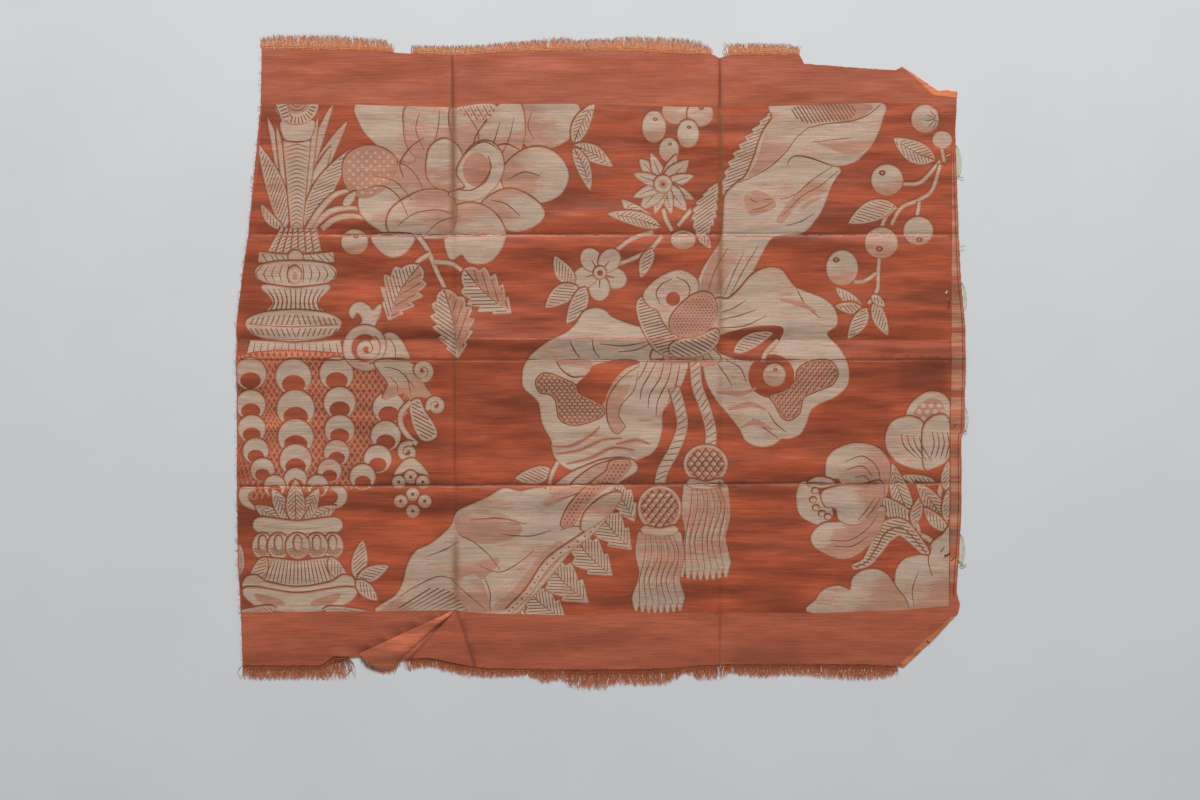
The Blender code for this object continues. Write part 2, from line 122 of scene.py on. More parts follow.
HEM = (
    (226.5, -228.4), (220.2, -227.3), (208.0, -226.5), (190.7, -226.1), (138.2, -226.0),
    (101.0, -226.1), (89.0, -226.5), (77.3, -226.9), (55.5, -228.8), (22.5, -229.9),
    (-17.3, -229.9), (-57.8, -229.5), (-82.5, -229.1), (-93.8, -228.0),
)
CUT_HEM = (
    (-176.3, -220.5), (-180.8, -220.9), (-188.3, -220.5), (-200.3, -220.1), (-210.0, -226.9),
    (-228.8, -227.0), (-247.5, -226.9), (-268.5, -226.9),
)

# Hem of the flap of the fan pleat, and of the panel beside it: share across, x, y.
FLAP_HEM = (
    (0.0, -180.8, -217.9), (0.2, -174.8, -223.9), (0.4, -166.5, -226.9),
    (0.6, -159.0, -227.3), (0.8, -151.5, -223.9), (1.0, -144.8, -222.4),
)
PANEL_HEM = ((0.0, -144.8, -222.4), (0.33, -128.3, -221.3), (0.67, -105.8, -226.1), (1.0, -93.8, -228.0))
FLAP_EDGE = Vector((FLAP_HEM[0][1] - FAN_POINT[0], FLAP_HEM[0][2] - FAN_POINT[1]))
FLAP_EDGE_LENGTH = FLAP_EDGE.length
ALONG_EDGE = FLAP_EDGE.normalized()
ACROSS_EDGE = Vector((-ALONG_EDGE.y, ALONG_EDGE.x))
SHARP_CREASE = Vector((FLAP_HEM[-1][1] - FAN_POINT[0], FLAP_HEM[-1][2] - FAN_POINT[1]))
FLAP_SPREAD = math.tan(SHARP_CREASE.angle(FLAP_EDGE))
HIDDEN_HEM_REACH = 71.3
FLAP_LEVEL_LIMIT = 0.6

# Fineness of the sheet.
GRID_STEP = 5.8
BACK_STEP = 7.0
EDGE_STEP = 1.6
EDGE_WANDER = 0.22
LONGEST_EDGE = 8.0
THIN_LIMIT = 0.12
THIN_SHARE = 0.045
CREASE_ROWS = (0.0, 0.5, 1.1, 2.0, 3.2, 5.0)
BACK_CREASE_ROWS = (0.0, 1.3, 4.0)
FAN_ROWS = 44
FLAP_COLUMNS = 22
PANEL_COLUMNS = 10
FOLD_STEPS = 8
GRADIENT_STEP = 0.4
DIGITS = 3
WELD_DISTANCE = 0.001
EDGE_TOLERANCE = 0.001
FLAT_LIMIT = 0.000001
EDGE_SEED = 3

# Map for baking: the woven side above, then both sides of the fan, then the back.
MAP_BOTTOM_Y = -232.0
MAP_TOP_Y = 237.0
FACE_ROWS = (0.22, 1.0)
FAN_ROWS_IN_MAP = (0.13, 0.21)
BACK_ROWS = (0.0, 0.12)
FAN_FACE_COLUMN = 0.0
FAN_BACK_COLUMN = 0.5
FAN_MAP_WIDTH = 0.49

# Brown stains along the two lengthwise folds: fold, from y, to y, half width, strength.
STAINS = (
    (1, 90.0, 212.0, 4.2, 0.95),
    (1, -190.0, -120.0, 4.6, 0.8),
    (1, -60.0, 60.0, 2.6, 0.4),
    (2, 10.0, 212.0, 3.4, 0.75),
    (2, -120.0, 0.0, 2.4, 0.35),
)
STAIN_FADE = 24.0
FOLD_TWO_LEAN = 1.0

# Creases: half width and depth of their grooves, and how dark their painted shade is along their length.
CREASE_HALF_WIDTH = 1.3
GROOVE_DEPTH = 0.2
GROOVE_MARGIN = 14.0
GROOVE_FADE = 8.0
FOLD_ONE_DARKNESS = (
    (-190.0, 0.1), (-176.0, 0.35), (40.0, 0.25), (186.0, 0.35), (194.0, 0.95), (230.0, 0.85),
)
FOLD_TWO_DARKNESS = (
    (-228.0, 0.55), (-188.0, 0.6), (-180.0, 0.15), (100.0, 0.2), (186.0, 0.35), (194.0, 1.0),
    (230.0, 1.0),
)
UPPER_DARKNESS = (
    (-273.0, 0.5), (-180.0, 0.6), (-165.0, 1.0), (-30.0, 1.0), (0.0, 0.5), (70.0, 0.55), (95.0, 1.0),
    (175.0, 1.0), (200.0, 0.5), (273.0, 0.4),
)
MIDDLE_DARKNESS = ((-273.0, 0.85), (-130.0, 0.85), (-100.0, 0.75), (273.0, 1.0))
LOWER_DARKNESS = ((-273.0, 0.8), (-60.0, 1.0), (90.0, 1.0), (273.0, 0.9))

# Painted shade and painted sheen on the satin: from x, to x, from y, to y, darkness. Below zero it
# is a painted sheen.
PAINTED_SHADE_AND_SHEEN = (
    (-112.0, 88.0, 3.0, 16.0, 0.34), (-112.0, 88.0, 9.0, 16.0, 0.34), (-112.0, 88.0, 16.5, 26.0, -0.22),
    (-112.0, 0.0, 15.0, 20.0, -0.25), (98.0, 150.0, -232.0, -208.0, 0.26),
    (-273.0, -112.0, 17.0, 25.0, 0.4), (-273.0, -112.0, 3.5, 16.0, -0.1),
    (88.0, 258.0, 17.0, 25.0, 0.32), (88.0, 258.0, 3.5, 16.0, -0.14),
    (88.0, 258.0, -21.0, 2.0, 0.3), (222.0, 262.0, -22.0, 2.0, 0.35),
    (164.0, 218.0, -56.0, -28.0, 0.28), (100.0, 142.0, -102.0, -94.0, 0.4),
    (98.0, 144.0, -154.0, -116.0, -0.2), (98.0, 150.0, -184.0, -164.0, 0.34),
    (-160.0, -124.0, -134.0, -114.0, -0.34), (-132.0, -112.0, -176.0, -124.0, 0.3),
    (-190.0, -112.0, -112.0, -98.0, 0.3), (-272.0, -252.0, -140.0, 90.0, 0.2),
    (-268.0, 250.0, -240.0, -208.0, 0.14), (-200.0, -112.0, -60.0, -28.0, 0.2),
    (-108.0, -40.0, -60.0, -10.0, 0.16), (-104.0, -60.0, -48.0, -34.0, -0.22),
    (88.0, 175.0, 60.0, 92.0, -0.16), (150.0, 180.0, 40.0, 60.0, 0.2),
    (-60.0, 20.0, 130.0, 150.0, 0.14), (-260.0, -200.0, 90.0, 104.0, 0.25),
    (0.0, 60.0, -150.0, -130.0, -0.2), (-70.0, 0.0, -92.0, -84.0, -0.15),
)
SHADE_FADE = 7.0
# Painted shadow beside the folded edge of the flap, and painted shade along the two creases of the fan.
EDGE_SHADOW = 0.9
EDGE_SHADOW_REACH = 6.0
FAN_CREASE_DARKNESS = 0.7

# Frayed threads, in millimetres.
THREAD_PITCH = 0.13
THREAD_RADIUS = 0.2
THREAD_TIP_RADIUS = 0.09
THREAD_ANGLES = (0.5236, 2.618, 4.7124)
THREAD_LENGTHS = (0.6, 1.05, 0.96)
SHORT_LENGTHS = (0.4, 1.0, 0.8)
THREAD_BRIGHTNESS = (0.72, 1.2)
THREAD_LEAN = 0.2
THREAD_BEND = 0.16
THREAD_STEPS = 6
THREAD_ROOT = 0.9
THREAD_LIFT = 0.6
FRINGE_FALL = 6.0
WEFT_STEP = 1.8
WEFT_RADIUS = 0.14
WEFT_WANDER = 0.12
WEFT_START = 4.0
WEFT_RUN = (22.0, 120.0)
WEFT_SPACE = (1.0, 16.0)

# Materials: noise scales in waves per metre along x, y and z, and relief in metres.
STREAK_SCALE = (38.0, 900.0, 60.0)
STRAND_SCALE = (75.0, 1500.0, 60.0)
GRAIN_SCALE = (800.0, 2600.0, 300.0)
BAND_SCALE = (9.0, 70.0, 9.0)
BLOTCH_SCALE = (26.0, 60.0, 22.0)
WAVE_SCALE = (10.0, 34.0, 10.0)
WAVE_RELIEF = 0.004
THREAD_GRAIN_SCALE = (900.0, 900.0, 900.0)
THREAD_RELIEF = 0.00012
PATTERN_RELIEF = 0.00015
PINK_WEFT = (0.410, 0.165, 0.100, 1.0)
PINK_STRENGTH = 0.72
SHADE_GAIN = 1.4
STAIN_COLOUR = (0.230, 0.095, 0.035, 1.0)
FIGURE_SHADOW = 0.35

# Spans of the noises that are stretched, and what they are stretched to.
NOISE_SPAN = (0.3, 0.7)
STREAK_LIGHT = (0.79, 1.19)
STRAND_LIGHT = (0.93, 1.06)
GRAIN_LIGHT = (0.9, 1.1)
BLOTCH_LIGHT = (0.93, 1.07)
# The broad bands are a painted sheen of the satin, dulled on the figure.
BAND_SPAN = (0.36, 0.64)
BAND_LIGHT = (0.66, 1.38)
FIGURE_DULLNESS = 0.7
WORN_SPAN = (0.4, 0.62)
WORN_WEFT = (-0.12, 0.6)
STRAND_WEFT = (-0.6, 0.5)
PINK_SPAN = (0.35, 0.75)
STAIN_SPAN = (0.3, 0.6)
STAIN_SHARES = (0.6, 1.0)
SHADOW_SPAN = (0.35, 0.65)
SHADOW_SHARES = (0.6, 1.15)
SHADOW_LIGHT = (1.62, 0.38)
THREAD_SHARES = (0.6, 0.4)

# Finishes: roughness, sheen and specular level.
SILK_ROUGHNESS = (0.52, 0.46)
SILK_SHEEN = 0.07
SILK_SPECULAR = 0.3
WARP_LIGHT = (0.85, 1.12)
WARP_ROUGHNESS = 0.65
WARP_SHEEN = 0.04
WARP_SPECULAR = 0.15
SHEEN_ROUGHNESS = 0.5
FLOOR_COLOUR = (0.655, 0.670, 0.685)
FLOOR_CLOUD_SCALE = (9.0, 9.0, 9.0)
FLOOR_GRAIN_SCALE = (900.0, 900.0, 900.0)
FLOOR_LIGHT = (0.98, 1.02)
FLOOR_RELIEF = 0.00003
FLOOR_ROUGHNESS = 0.8

# Loosened wefts: distance from the edge, and how bright they are beside the thread tips.
WEFT_LINES = ((0.5, 0.75), (1.5, 1.05), (2.8, 0.9))

# Colours of the frayed ends, at the root and at the tip. The darker roots are painted shade among the
# dense threads and the lighter tips a painted highlight; the bottom ends are darker still, as painted
# shade where the hem turns down.
TOP_COLOURS = ((0.640, 0.190, 0.072), (0.920, 0.405, 0.205))
BOTTOM_COLOURS = ((0.255, 0.055, 0.023), (0.610, 0.185, 0.074))
FLAP_COLOURS = ((0.560, 0.170, 0.080), (0.760, 0.300, 0.165))

# Remnants of sewing thread along the selvedge, in squares of the draft: across, down, length,
# direction in degrees, thickness in millimetres and colour.
OLIVE = (0.300, 0.210, 0.060)
PALE_THREAD = (0.780, 0.660, 0.430)
DARK_THREAD = (0.045, 0.028, 0.020)
OCHRE = (0.520, 0.400, 0.120)
STITCHES = (
    (945.5, 161.0, 8.0, 70.0, 1.0, OLIVE), (948.0, 156.0, 5.0, 20.0, 0.7, PALE_THREAD),
    (960.0, 177.5, 7.0, -20.0, 0.5, DARK_THREAD), (946.5, 292.0, 4.0, 80.0, 1.0, PALE_THREAD),
    (947.5, 299.0, 5.0, 60.0, 1.0, OLIVE), (948.5, 305.0, 7.0, 85.0, 0.6, DARK_THREAD),
    (949.0, 418.0, 7.0, 75.0, 1.0, OLIVE), (953.5, 426.0, 6.0, 55.0, 0.8, OLIVE),
    (965.0, 432.0, 3.5, 10.0, 0.6, DARK_THREAD), (942.0, 549.0, 5.0, 40.0, 0.9, OLIVE),
    (947.0, 554.0, 6.0, 30.0, 1.0, DARK_THREAD), (953.0, 558.0, 6.0, 30.0, 1.0, OLIVE),
    (960.0, 561.0, 8.0, -35.0, 0.9, OCHRE), (963.0, 565.0, 6.0, 15.0, 0.7, OLIVE),
    (962.0, 247.0, 5.0, 0.0, 0.5, DARK_THREAD), (928.0, 642.0, 5.0, -50.0, 0.5, DARK_THREAD),
)
STITCH_STEPS = 5
STITCH_WANDER = 0.22
STITCH_SEED = 21

# Pale slivers beside the selvedge, in squares of the draft: from, to and width. Their strands are
# in millimetres.
SLIVERS = ((145.0, 178.0, 6.0), (282.0, 311.0, 5.0), (407.0, 432.0, 4.5), (534.0, 567.0, 6.5))
SLIVER_PITCH = 0.32
SLIVER_RADIUS = 0.24
SLIVER_STEPS = 10
SLIVER_WANDER = 0.1
SLIVER_BRIGHTNESS = (0.85, 1.1)
SLIVER_COLOUR = (0.690, 0.690, 0.560)

# Fuzz along the cut side: length from and to, how far the middle of a hair lies out and along,
# how deep it starts in the sheet, and how high its tip lies.
FUZZ_COUNT = 260
FUZZ_LENGTH = (0.6, 2.6)
FUZZ_BEND = (0.5, 0.3)
FUZZ_ROOT = 0.3
FUZZ_TIP_HEIGHT = 0.3
FUZZ_RADIUS = 0.07
FUZZ_COLOUR = (0.620, 0.230, 0.110)

# Camera, light and floor, in metres and watts. The image counts squares of the draft.
IMAGE_WIDTH = 1200.0
IMAGE_CENTRE = (600.0, 400.0)
CAMERA_LENS = 50.0
CAMERA_SENSOR = 36.0
KEY_PLACE = (0.1, 2.3, 1.9)
KEY_SIZE = 1.2
KEY_POWER = 86.0
FILL_PLACE = (0.3, -1.6, 1.9)
FILL_SIZE = 1.6
FILL_POWER = 4.0
WORLD_STRENGTH = 0.24
FLOOR_HALF = 4.0

# Tips of the frayed ends: x, y.
TIPS_TOP_LEFT = (
    (-254.3, 245.0), (-248.0, 247.0), (-200.0, 247.0), (-175.0, 245.0), (-162.0, 243.4),
    (-156.5, 239.6),
)
TIPS_TOP_MIDDLE = (
    (-142.0, 239.3), (-125.0, 239.0), (-91.0, 239.6), (-58.5, 242.8), (-28.5, 245.6),
    (-17.0, 243.4), (29.0, 246.4), (55.0, 245.0), (72.0, 242.8), (83.0, 237.0),
)
TIPS_TOP_RIGHT = (
    (95.3, 241.0), (135.8, 240.5), (147.0, 239.3),
)
TIPS_BOTTOM_LEFT = (
    (-268.5, -238.1), (-255.0, -239.6), (-190.5, -238.9),
)
TIPS_BOTTOM_FLAP = (
    (-180.0, -224.6), (-174.0, -230.6), (-165.8, -234.4), (-157.5, -235.1), (-153.0, -231.4),
    (-150.0, -227.6),
)
TIPS_BOTTOM_MIDDLE = (
    (-144.0, -232.5), (-128.0, -229.9), (-105.0, -236.3), (-82.5, -238.1), (-55.5, -236.3),
    (-42.8, -242.6), (-30.0, -239.5), (-16.0, -247.0), (-3.0, -247.0), (11.3, -243.4),
    (40.0, -244.1), (52.5, -240.8), (64.5, -234.4), (75.0, -239.9), (88.5, -238.9),
)
TIPS_BOTTOM_RIGHT = (
    (91.5, -238.5), (94.0, -234.4), (120.8, -238.1), (140.3, -235.9), (176.3, -238.9),
    (198.0, -240.2), (210.8, -238.7), (220.5, -235.5),
)

# Borders of the figured field, in squares of the draft: top and bottom by their place across, and
# left and right by their place down.
FIELD_TOP = (
    (262, 104), (360, 105), (455, 108), (480, 104), (575, 104), (718, 108), (880, 103), (957, 105),
)
FIELD_BOTTOM = (
    (243, 612), (380, 611), (455, 610), (480, 613), (568, 615), (720, 612), (813, 613), (900, 610),
    (957, 605),
)
FIELD_RIGHT = ((104, 955.5), (144, 955), (150, 950.5), (600, 948.5), (606, 948))
FIELD_LEFT = (
    (104, 262.4), (166.5, 258.6), (200, 252.8), (232, 250.0), (276, 243.3), (322.5, 238.0),
    (402, 238.0), (552, 238.8), (613, 242.2),
)

# Tones of the weave: linear colour, and whether the pattern weft lies on top (1), the satin (0) or
# the plain weave of the bands (-1).
TONES = {
    "plain": ((0.400, 0.100, 0.049), -1.0),
    "ground": ((0.352, 0.070, 0.027), 0.0),
    "cream": ((0.490, 0.350, 0.262), 1.0),
    "pink": ((0.440, 0.205, 0.135), 1.0),
    "rim": ((0.455, 0.215, 0.130), 1.0),
    "line": ((0.220, 0.064, 0.029), 0.0),
    "mesh": ((0.470, 0.185, 0.110), 0.4),
    # The crease tone is painted shade in the grooves of the creases.
    "crease": ((0.245, 0.056, 0.024), 0.0),
    # The worn tone is wear below the creases, a painted highlight along the ridge and a selvedge stripe.
    "worn": ((0.440, 0.140, 0.078), 0.0),
    "selvedge": ((0.430, 0.190, 0.110), 0.0),
    # The flap tone is the plain band made lighter: painted light on the flap, which is tilted to the light.
    "flap": ((0.520, 0.140, 0.070), 0.0),
    "back": ((0.400, 0.190, 0.120), 0.0),
    "edge": ((0.560, 0.170, 0.065), 0.0),
}
TONE_NAMES = list(TONES)

# The weaver's hand, in squares of the draft.
CURVE_STEP = 2.2
CURVE_STEPS = (2, 10)
ROUND_STEPS = (7, 40)
SPIRAL_STEPS = 22
LEAST_SPIRAL_STEPS = 6
# The dark outline round a motif is shifted up and left, as a painted drop shadow beside it.
HALO = 2.0
DROP_SHADOW_SHIFT = (-0.3, -0.6)
RIM = 1.1
LINE_WEIGHT = 0.88
SHORTEST_STROKE = 1.5
DOT_MARGIN = 0.6
LATTICE_INSET = 0.8

# Leaves: how full and how blunt they are, the least and the added width at each tooth, and the
# share and the widths of their ribs.
LEAF_STEPS = 12
LEAF_FULLNESS = 0.8
LEAF_BLUNTNESS = 0.85
TOOTH_WIDTHS = (0.72, 0.42)
RIB_SHARE = 0.9
RIB_WIDTHS = (1.3, 1.0, 0.5)
RIBBED_LEAVES = ("ribbed", "feather", "split")
DARK_HALF_INSET = 0.8

# Strokes of each kind of leaf: part, how far inside its edge, slant from the spine in degrees,
# pitch and width.
LEAF_STROKES = {
    "plain": (),
    "ribbed": (),
    "hatched": (("whole", 0.8, 38.0, 3.0, 0.85),),
    "feather": (("left", 0.5, 42.0, 3.0, 0.85), ("right", 0.5, -42.0, 3.0, 0.85)),
    "split": (("left", 1.4, 30.0, 7.0, 0.9), ("right", 0.6, -44.0, 3.6, 1.0)),
}

# Ropes: first turn, length of a turn, how far it rises, its share of the width and its widths.
ROPE_START = 2.0
ROPE_PITCH = 6.8
ROPE_RISE = 3.0
ROPE_SHARE = 0.48
ROPE_STROKE = (0.9, 1.4, 0.9)

# Berries, as shares of their own size: where the shade starts and its strength, the place of the
# spot, and the half widths and half lengths of the spot and its heart.
BERRY_SHADE_START = 0.2
BERRY_SHADE = 0.75
SPOT_PLACE = (0.1, 0.5)
SPOT_SIZE = (0.24, 0.19)
SPOT_HEART_SIZE = (0.1, 0.08)

# Crescents: how far the hollow sinks, and its height, as shares.
CRESCENT_DROP = 0.7
CRESCENT_FLATNESS = 0.8

# Lines along the crosswise creases, in squares of the draft: start, end, width and tone. The dark
# crease lines are painted shade in the grooves, the worn lines below them are wear, and the two worn
# lines along the ridge are a painted highlight. Each is painted piece by piece, and each piece takes
# its own share of the width.
CREASE_LINE_SEED = 5
CREASE_LINE_STEPS = 121
CREASE_LINE_PIECE = 6
CREASE_LINE_WANDER = 0.25
CREASE_LINE_SHARES = (0.15, 1.3)
SHADE_WEAR_AND_HIGHLIGHT_LINES = (
    ((330, 234.7), (580, 234.7), 1.5, "crease"),
    ((252, 236.3), (948, 236.3), 1.3, "worn"),
    ((240, 359.9), (948, 359.6), 1.5, "crease"),
    ((240, 361.7), (948, 361.4), 0.9, "worn"),
    ((240, 486.1), (948, 482.8), 1.9, "crease"),
    ((240, 488.4), (948, 484.4), 0.9, "worn"),
    # Painted highlight along the crest of the ridge.
    ((240, 339.8), (450, 339.2), 1.0, "worn"),
    ((453, 338.9), (719, 338.6), 1.2, "worn"),
)

# Striped strip of the selvedge, in squares of the draft: its rows, and its sides by their place
# down.
SELVEDGE_SEED = 11
SELVEDGE_ROWS = (150.0, 598.0)
SELVEDGE_LEFT = ((150, 951.5), (300, 951.0), (440, 950.0), (598, 949.5))
SELVEDGE_RIGHT = (
    (150, 954.6), (230, 956.8), (270, 958.6), (300, 961.2), (330, 963.6), (380, 963.6), (429, 962.6),
    (440, 959.6), (512, 959.6), (562, 956.8), (590, 954.8), (598, 955.5),
)
SELVEDGE_STRIPES = (1.5, 7.0)
SELVEDGE_TONES = ("selvedge", "selvedge", "worn", "plain", "worn")

# Raw edges of the two right corners, in squares of the draft.
LOWER_CORNER = (
    (953.5, 617.0), (947.0, 623.0), (936.0, 634.5), (925.0, 644.5), (908.0, 660.0), (902.0, 665.0),
)
UPPER_CORNER = (
    (902.0, 67.5), (914.0, 75.0), (925.0, 84.0), (935.0, 92.0), (947.0, 93.0), (956.0, 93.5),
)

# Crescent scales on the urn: place across, place down, radius.
CRESCENTS = (
    (251, 374, 15), (294, 377, 17), (337, 374, 16), (251, 405, 14), (296, 409, 18), (340, 403, 15),
    (389, 408, 15), (252, 429, 13), (296, 437, 17), (340, 430, 14), (386, 436, 14), (256, 451, 12),
    (296, 460, 15), (337, 453, 12), (378, 459, 13), (263, 470, 11), (330, 471, 11), (296, 480, 11),
    (363, 477, 12), (275, 486, 10), (318, 486, 10),
)


def smooth(share):
    share = np.clip(share, 0.0, 1.0)
    return share * share * (3.0 - 2.0 * share)


def blend(start, end, share):
    return start + (end - start) * share


def read_table(rows, place, known=0, wanted=1):
    """Read one column of a table, on straight lines, where another that rises has a value."""
    return np.interp(place, [row[known] for row in rows], [row[wanted] for row in rows])


def fold_swell(distance, reach):
    share = np.minimum(np.abs(distance) / reach, 1.0)
    return share * (1.0 - share) ** 2 / FOLD_SWELL_PEAK


def fold_one_x(y):
    share = np.minimum((y - FAN_POINT[1]) / (FOLD_ONE_TOP[1] - FAN_POINT[1]), 1.0)
    return blend(FAN_POINT[0], FOLD_ONE_TOP[0], share)


def lower_fold_y(x):
    return FOLD_LOWER_Y + FOLD_LOWER_RISE * (x + HALF_WIDTH) / (2.0 * HALF_WIDTH)


def ridge_height(y):
    above = RIDGE_HEIGHT * (1.0 - np.clip((y - RIDGE_Y) / RIDGE_REACH, 0.0, 1.0)) ** 2
    below = RIDGE_HEIGHT * np.clip((y - FOLD_MIDDLE_Y) / (RIDGE_Y - FOLD_MIDDLE_Y), 0.0, 1.0)
    return np.where(y >= RIDGE_Y, above, below)


def valley_height(y):
    section = (
        (RIDGE_Y - RIDGE_REACH, 0.0),
        (FOLD_MIDDLE_Y, VALLEY_CREST),
        (RIDGE_Y, 0.0),
        (RIDGE_Y + VALLEY_BANK_OFFSET, VALLEY_BANK),
        (RIDGE_Y + RIDGE_REACH, 0.0),
    )
    return read_table(section, y)


def field_lift(x, y):
    """Height of the underside above the floor, away from the fan pleat."""
    lift = CROSS_SWELL * fold_swell(y - FOLD_UPPER_Y, CROSS_REACH)
    lift = lift + CROSS_SWELL * fold_swell(y - lower_fold_y(x), CROSS_REACH)
    inside = smooth(0.5 + (x - fold_one_x(y)) / (2.0 * SIDE_FADE))
    inside = inside * smooth(0.5 - (x - FOLD_TWO_X) / (2.0 * SIDE_FADE))
    lift = lift + blend(valley_height(y), ridge_height(y), inside)
    above_fan = smooth((y - FAN_POINT[1]) / HEM_FADE)
    lengthwise = np.maximum(
        fold_swell(x - fold_one_x(y), LENGTH_REACH) * above_fan,
        fold_swell(x - FOLD_TWO_X, LENGTH_REACH),
    )
    lengthwise = lengthwise * smooth((TOP_FADE_Y - y) / HEM_FADE)
    lift = lift + LENGTH_SWELL * lengthwise * smooth((y - HEM_FADE_Y) / HEM_FADE)
    for centre_x, centre_y, half_width, half_length, height in SWELLS:
        across = np.maximum(1.0 - ((x - centre_x) / half_width) ** 2, 0.0)
        along = np.maximum(1.0 - ((y - centre_y) / half_length) ** 2, 0.0)
        lift = lift + height * (across * along) ** 2
    curl = np.maximum(1.0 - ((x - CURL_X) / CURL_HALF_WIDTH) ** 2, 0.0)
    return lift + CURL_HEIGHT * curl * smooth((CURL_TOP_Y - y) / CURL_DEPTH)


def woven_side(x, y):
    """Height of the upper face: above the middle surface, with a groove along each crease."""
    return field_lift(x, y) + (SOLID_THICKNESS + SILK_THICKNESS) / 2.0 - crease_at(x, y, groove=True)


def surface_normals(height, x, y):
    step = GRADIENT_STEP
    slope_x = (height(x + step, y) - height(x - step, y)) / (2.0 * step)
    slope_y = (height(x, y + step) - height(x, y - step)) / (2.0 * step)
    normals = np.column_stack((-slope_x, -slope_y, np.ones(len(x))))
    return normals / np.linalg.norm(normals, axis=1)[:, None]


def fold_path(reach):
    """Section through the folded edge of the flap: up and back under it, along, and over."""
    turn = math.pi * float(smooth(reach / FOLD_CLOSES))
    path = [(0.0, 0.0)]
    for step in range(1, FOLD_STEPS + 1):
        angle = turn * step / FOLD_STEPS
        path.append((FOLD_RADIUS * math.sin(angle), FOLD_RADIUS * (1.0 - math.cos(angle))))
    hidden = HIDDEN_WIDTH * reach / FLAP_EDGE_LENGTH
    along = path[-1][0] + hidden * math.cos(turn)
    up = path[-1][1] + hidden * math.sin(turn)
    path.append((along, up))
    for step in range(1, FOLD_STEPS + 1):
        angle = turn * (1.0 - step / FOLD_STEPS)
        path.append((
            along + FOLD_RADIUS * (math.sin(turn) - math.sin(angle)),
            up + FOLD_RADIUS * (math.cos(angle) - math.cos(turn)),
        ))
    shift = -min(point[0] for point in path)
    return [(point[0] + shift, point[1]) for point in path]


def flap_height(share, reach):
    path = fold_path(reach)
    level = (path[0][0] + FOLD_RADIUS) / max(reach * FLAP_SPREAD, FOLD_RADIUS)
    level = min(level, FLAP_LEVEL_LIMIT)
    return path[-1][1] * (1.0 - float(smooth((share - level) / (1.0 - level))))


def hem_place(rows, across):
    return float(read_table(rows, across)), float(read_table(rows, across, 0, 2))


def fan_points(share):
    """Middle surface of the fan at one share of the way from its point to the hem."""
    reach = share * FLAP_EDGE_LENGTH
    path = fold_path(reach)
    points = []
    for index, (along, up) in enumerate(path):
        edge_reach = share * blend(HIDDEN_HEM_REACH, FLAP_EDGE_LENGTH, index / (len(path) - 1))
        place = Vector(FAN_POINT) + ALONG_EDGE * edge_reach + ACROSS_EDGE * along
        points.append((place.x, place.y, up))
    for column in range(1, FLAP_COLUMNS + 1):
        across = column / FLAP_COLUMNS
        hem_x, hem_y = hem_place(FLAP_HEM, across)
        inset = ACROSS_EDGE * (1.0 - across) * path[-1][0]
        x = blend(FAN_POINT[0], hem_x, share) + inset.x
        y = blend(FAN_POINT[1], hem_y, share) + inset.y
        points.append((x, y, flap_height(across, reach)))
    for column in range(1, PANEL_COLUMNS + 1):
        across = column / PANEL_COLUMNS
        hem_x, hem_y = hem_place(PANEL_HEM, across)
        swell = PANEL_SWELL * share * math.sin(math.pi * across)
        x, y = blend(FAN_POINT[0], hem_x, share), blend(FAN_POINT[1], hem_y, share)
        points.append((x, y, swell))
    return points


def even_points(points, step, wander, draw):
    """Points along a polyline, evenly spaced, each moved a little sideways; the ends stay."""
    made = []
    for (x0, y0), (x1, y1) in zip(points, points[1:]):
        length = math.hypot(x1 - x0, y1 - y0)
        count = max(int(length / step), 1)
        for index in range(count):
            share = index / count
            offset = draw.uniform(-wander, wander) if index else 0.0
            x = blend(x0, x1, share) + offset * (y1 - y0) / length
            y = blend(y0, y1, share) - offset * (x1 - x0) / length
            made.append((round(x, DIGITS), round(y, DIGITS)))
    return made


def inside_polygon(points, polygon):
    """Which points lie inside a closed polygon, by counting the edges they cross."""
    polygon = np.asarray(polygon, float)
    x, y = points[:, 0], points[:, 1]
    found = np.zeros(len(points), bool)
    for (x0, y0), (x1, y1) in zip(polygon, np.roll(polygon, -1, axis=0)):
        if y0 == y1:
            continue
        crosses = (y0 > y) != (y1 > y)
        found ^= crosses & (x < (x1 - x0) * (y - y0) / (y1 - y0) + x0)
    return found


def to_cloth(points):
    """From squares of the draft to millimetres on the cloth."""
    points = np.asarray(points, float)
    return (points - DRAFT_CENTRE) * (DRAFT_SQUARE, -DRAFT_SQUARE)


def curve(points, closed=False):
    """A smooth line through a few points."""
    points = np.asarray(points, float)
    last = len(points) - 1
    made = []
    for index in range(last + 1 if closed else last):
        places = [index - 1, index, index + 1, index + 2]
        if closed:
            places = [place % (last + 1) for place in places]
        else:
            places = [min(max(place, 0), last) for place in places]
        before, start, end, after = points[places]
        steps = int(np.clip(np.hypot(*(end - start)) / CURVE_STEP, *CURVE_STEPS))
        for step in range(steps):
            share = step / steps
            straight = 2.0 * start + (end - before) * share
            bent = (2.0 * before - 5.0 * start + 4.0 * end - after) * share ** 2
            made.append(0.5 * (straight + bent + (3.0 * start - before - 3.0 * end + after) * share ** 3))
    if not closed:
        made.append(points[-1])
    return np.array(made)


def outset(loop, distance):
    """A loop moved outward by a distance, or inward below zero."""
    run = np.roll(loop, -1, axis=0) - np.roll(loop, 1, axis=0)
    length = np.maximum(np.hypot(run[:, 0], run[:, 1]), FLAT_LIMIT)
    after = np.roll(loop, -1, axis=0)
    turn = np.sign(np.sum(loop[:, 0] * after[:, 1] - loop[:, 1] * after[:, 0]))
    normal = np.column_stack((run[:, 1], -run[:, 0])) / length[:, None]
    return loop + normal * turn * distance


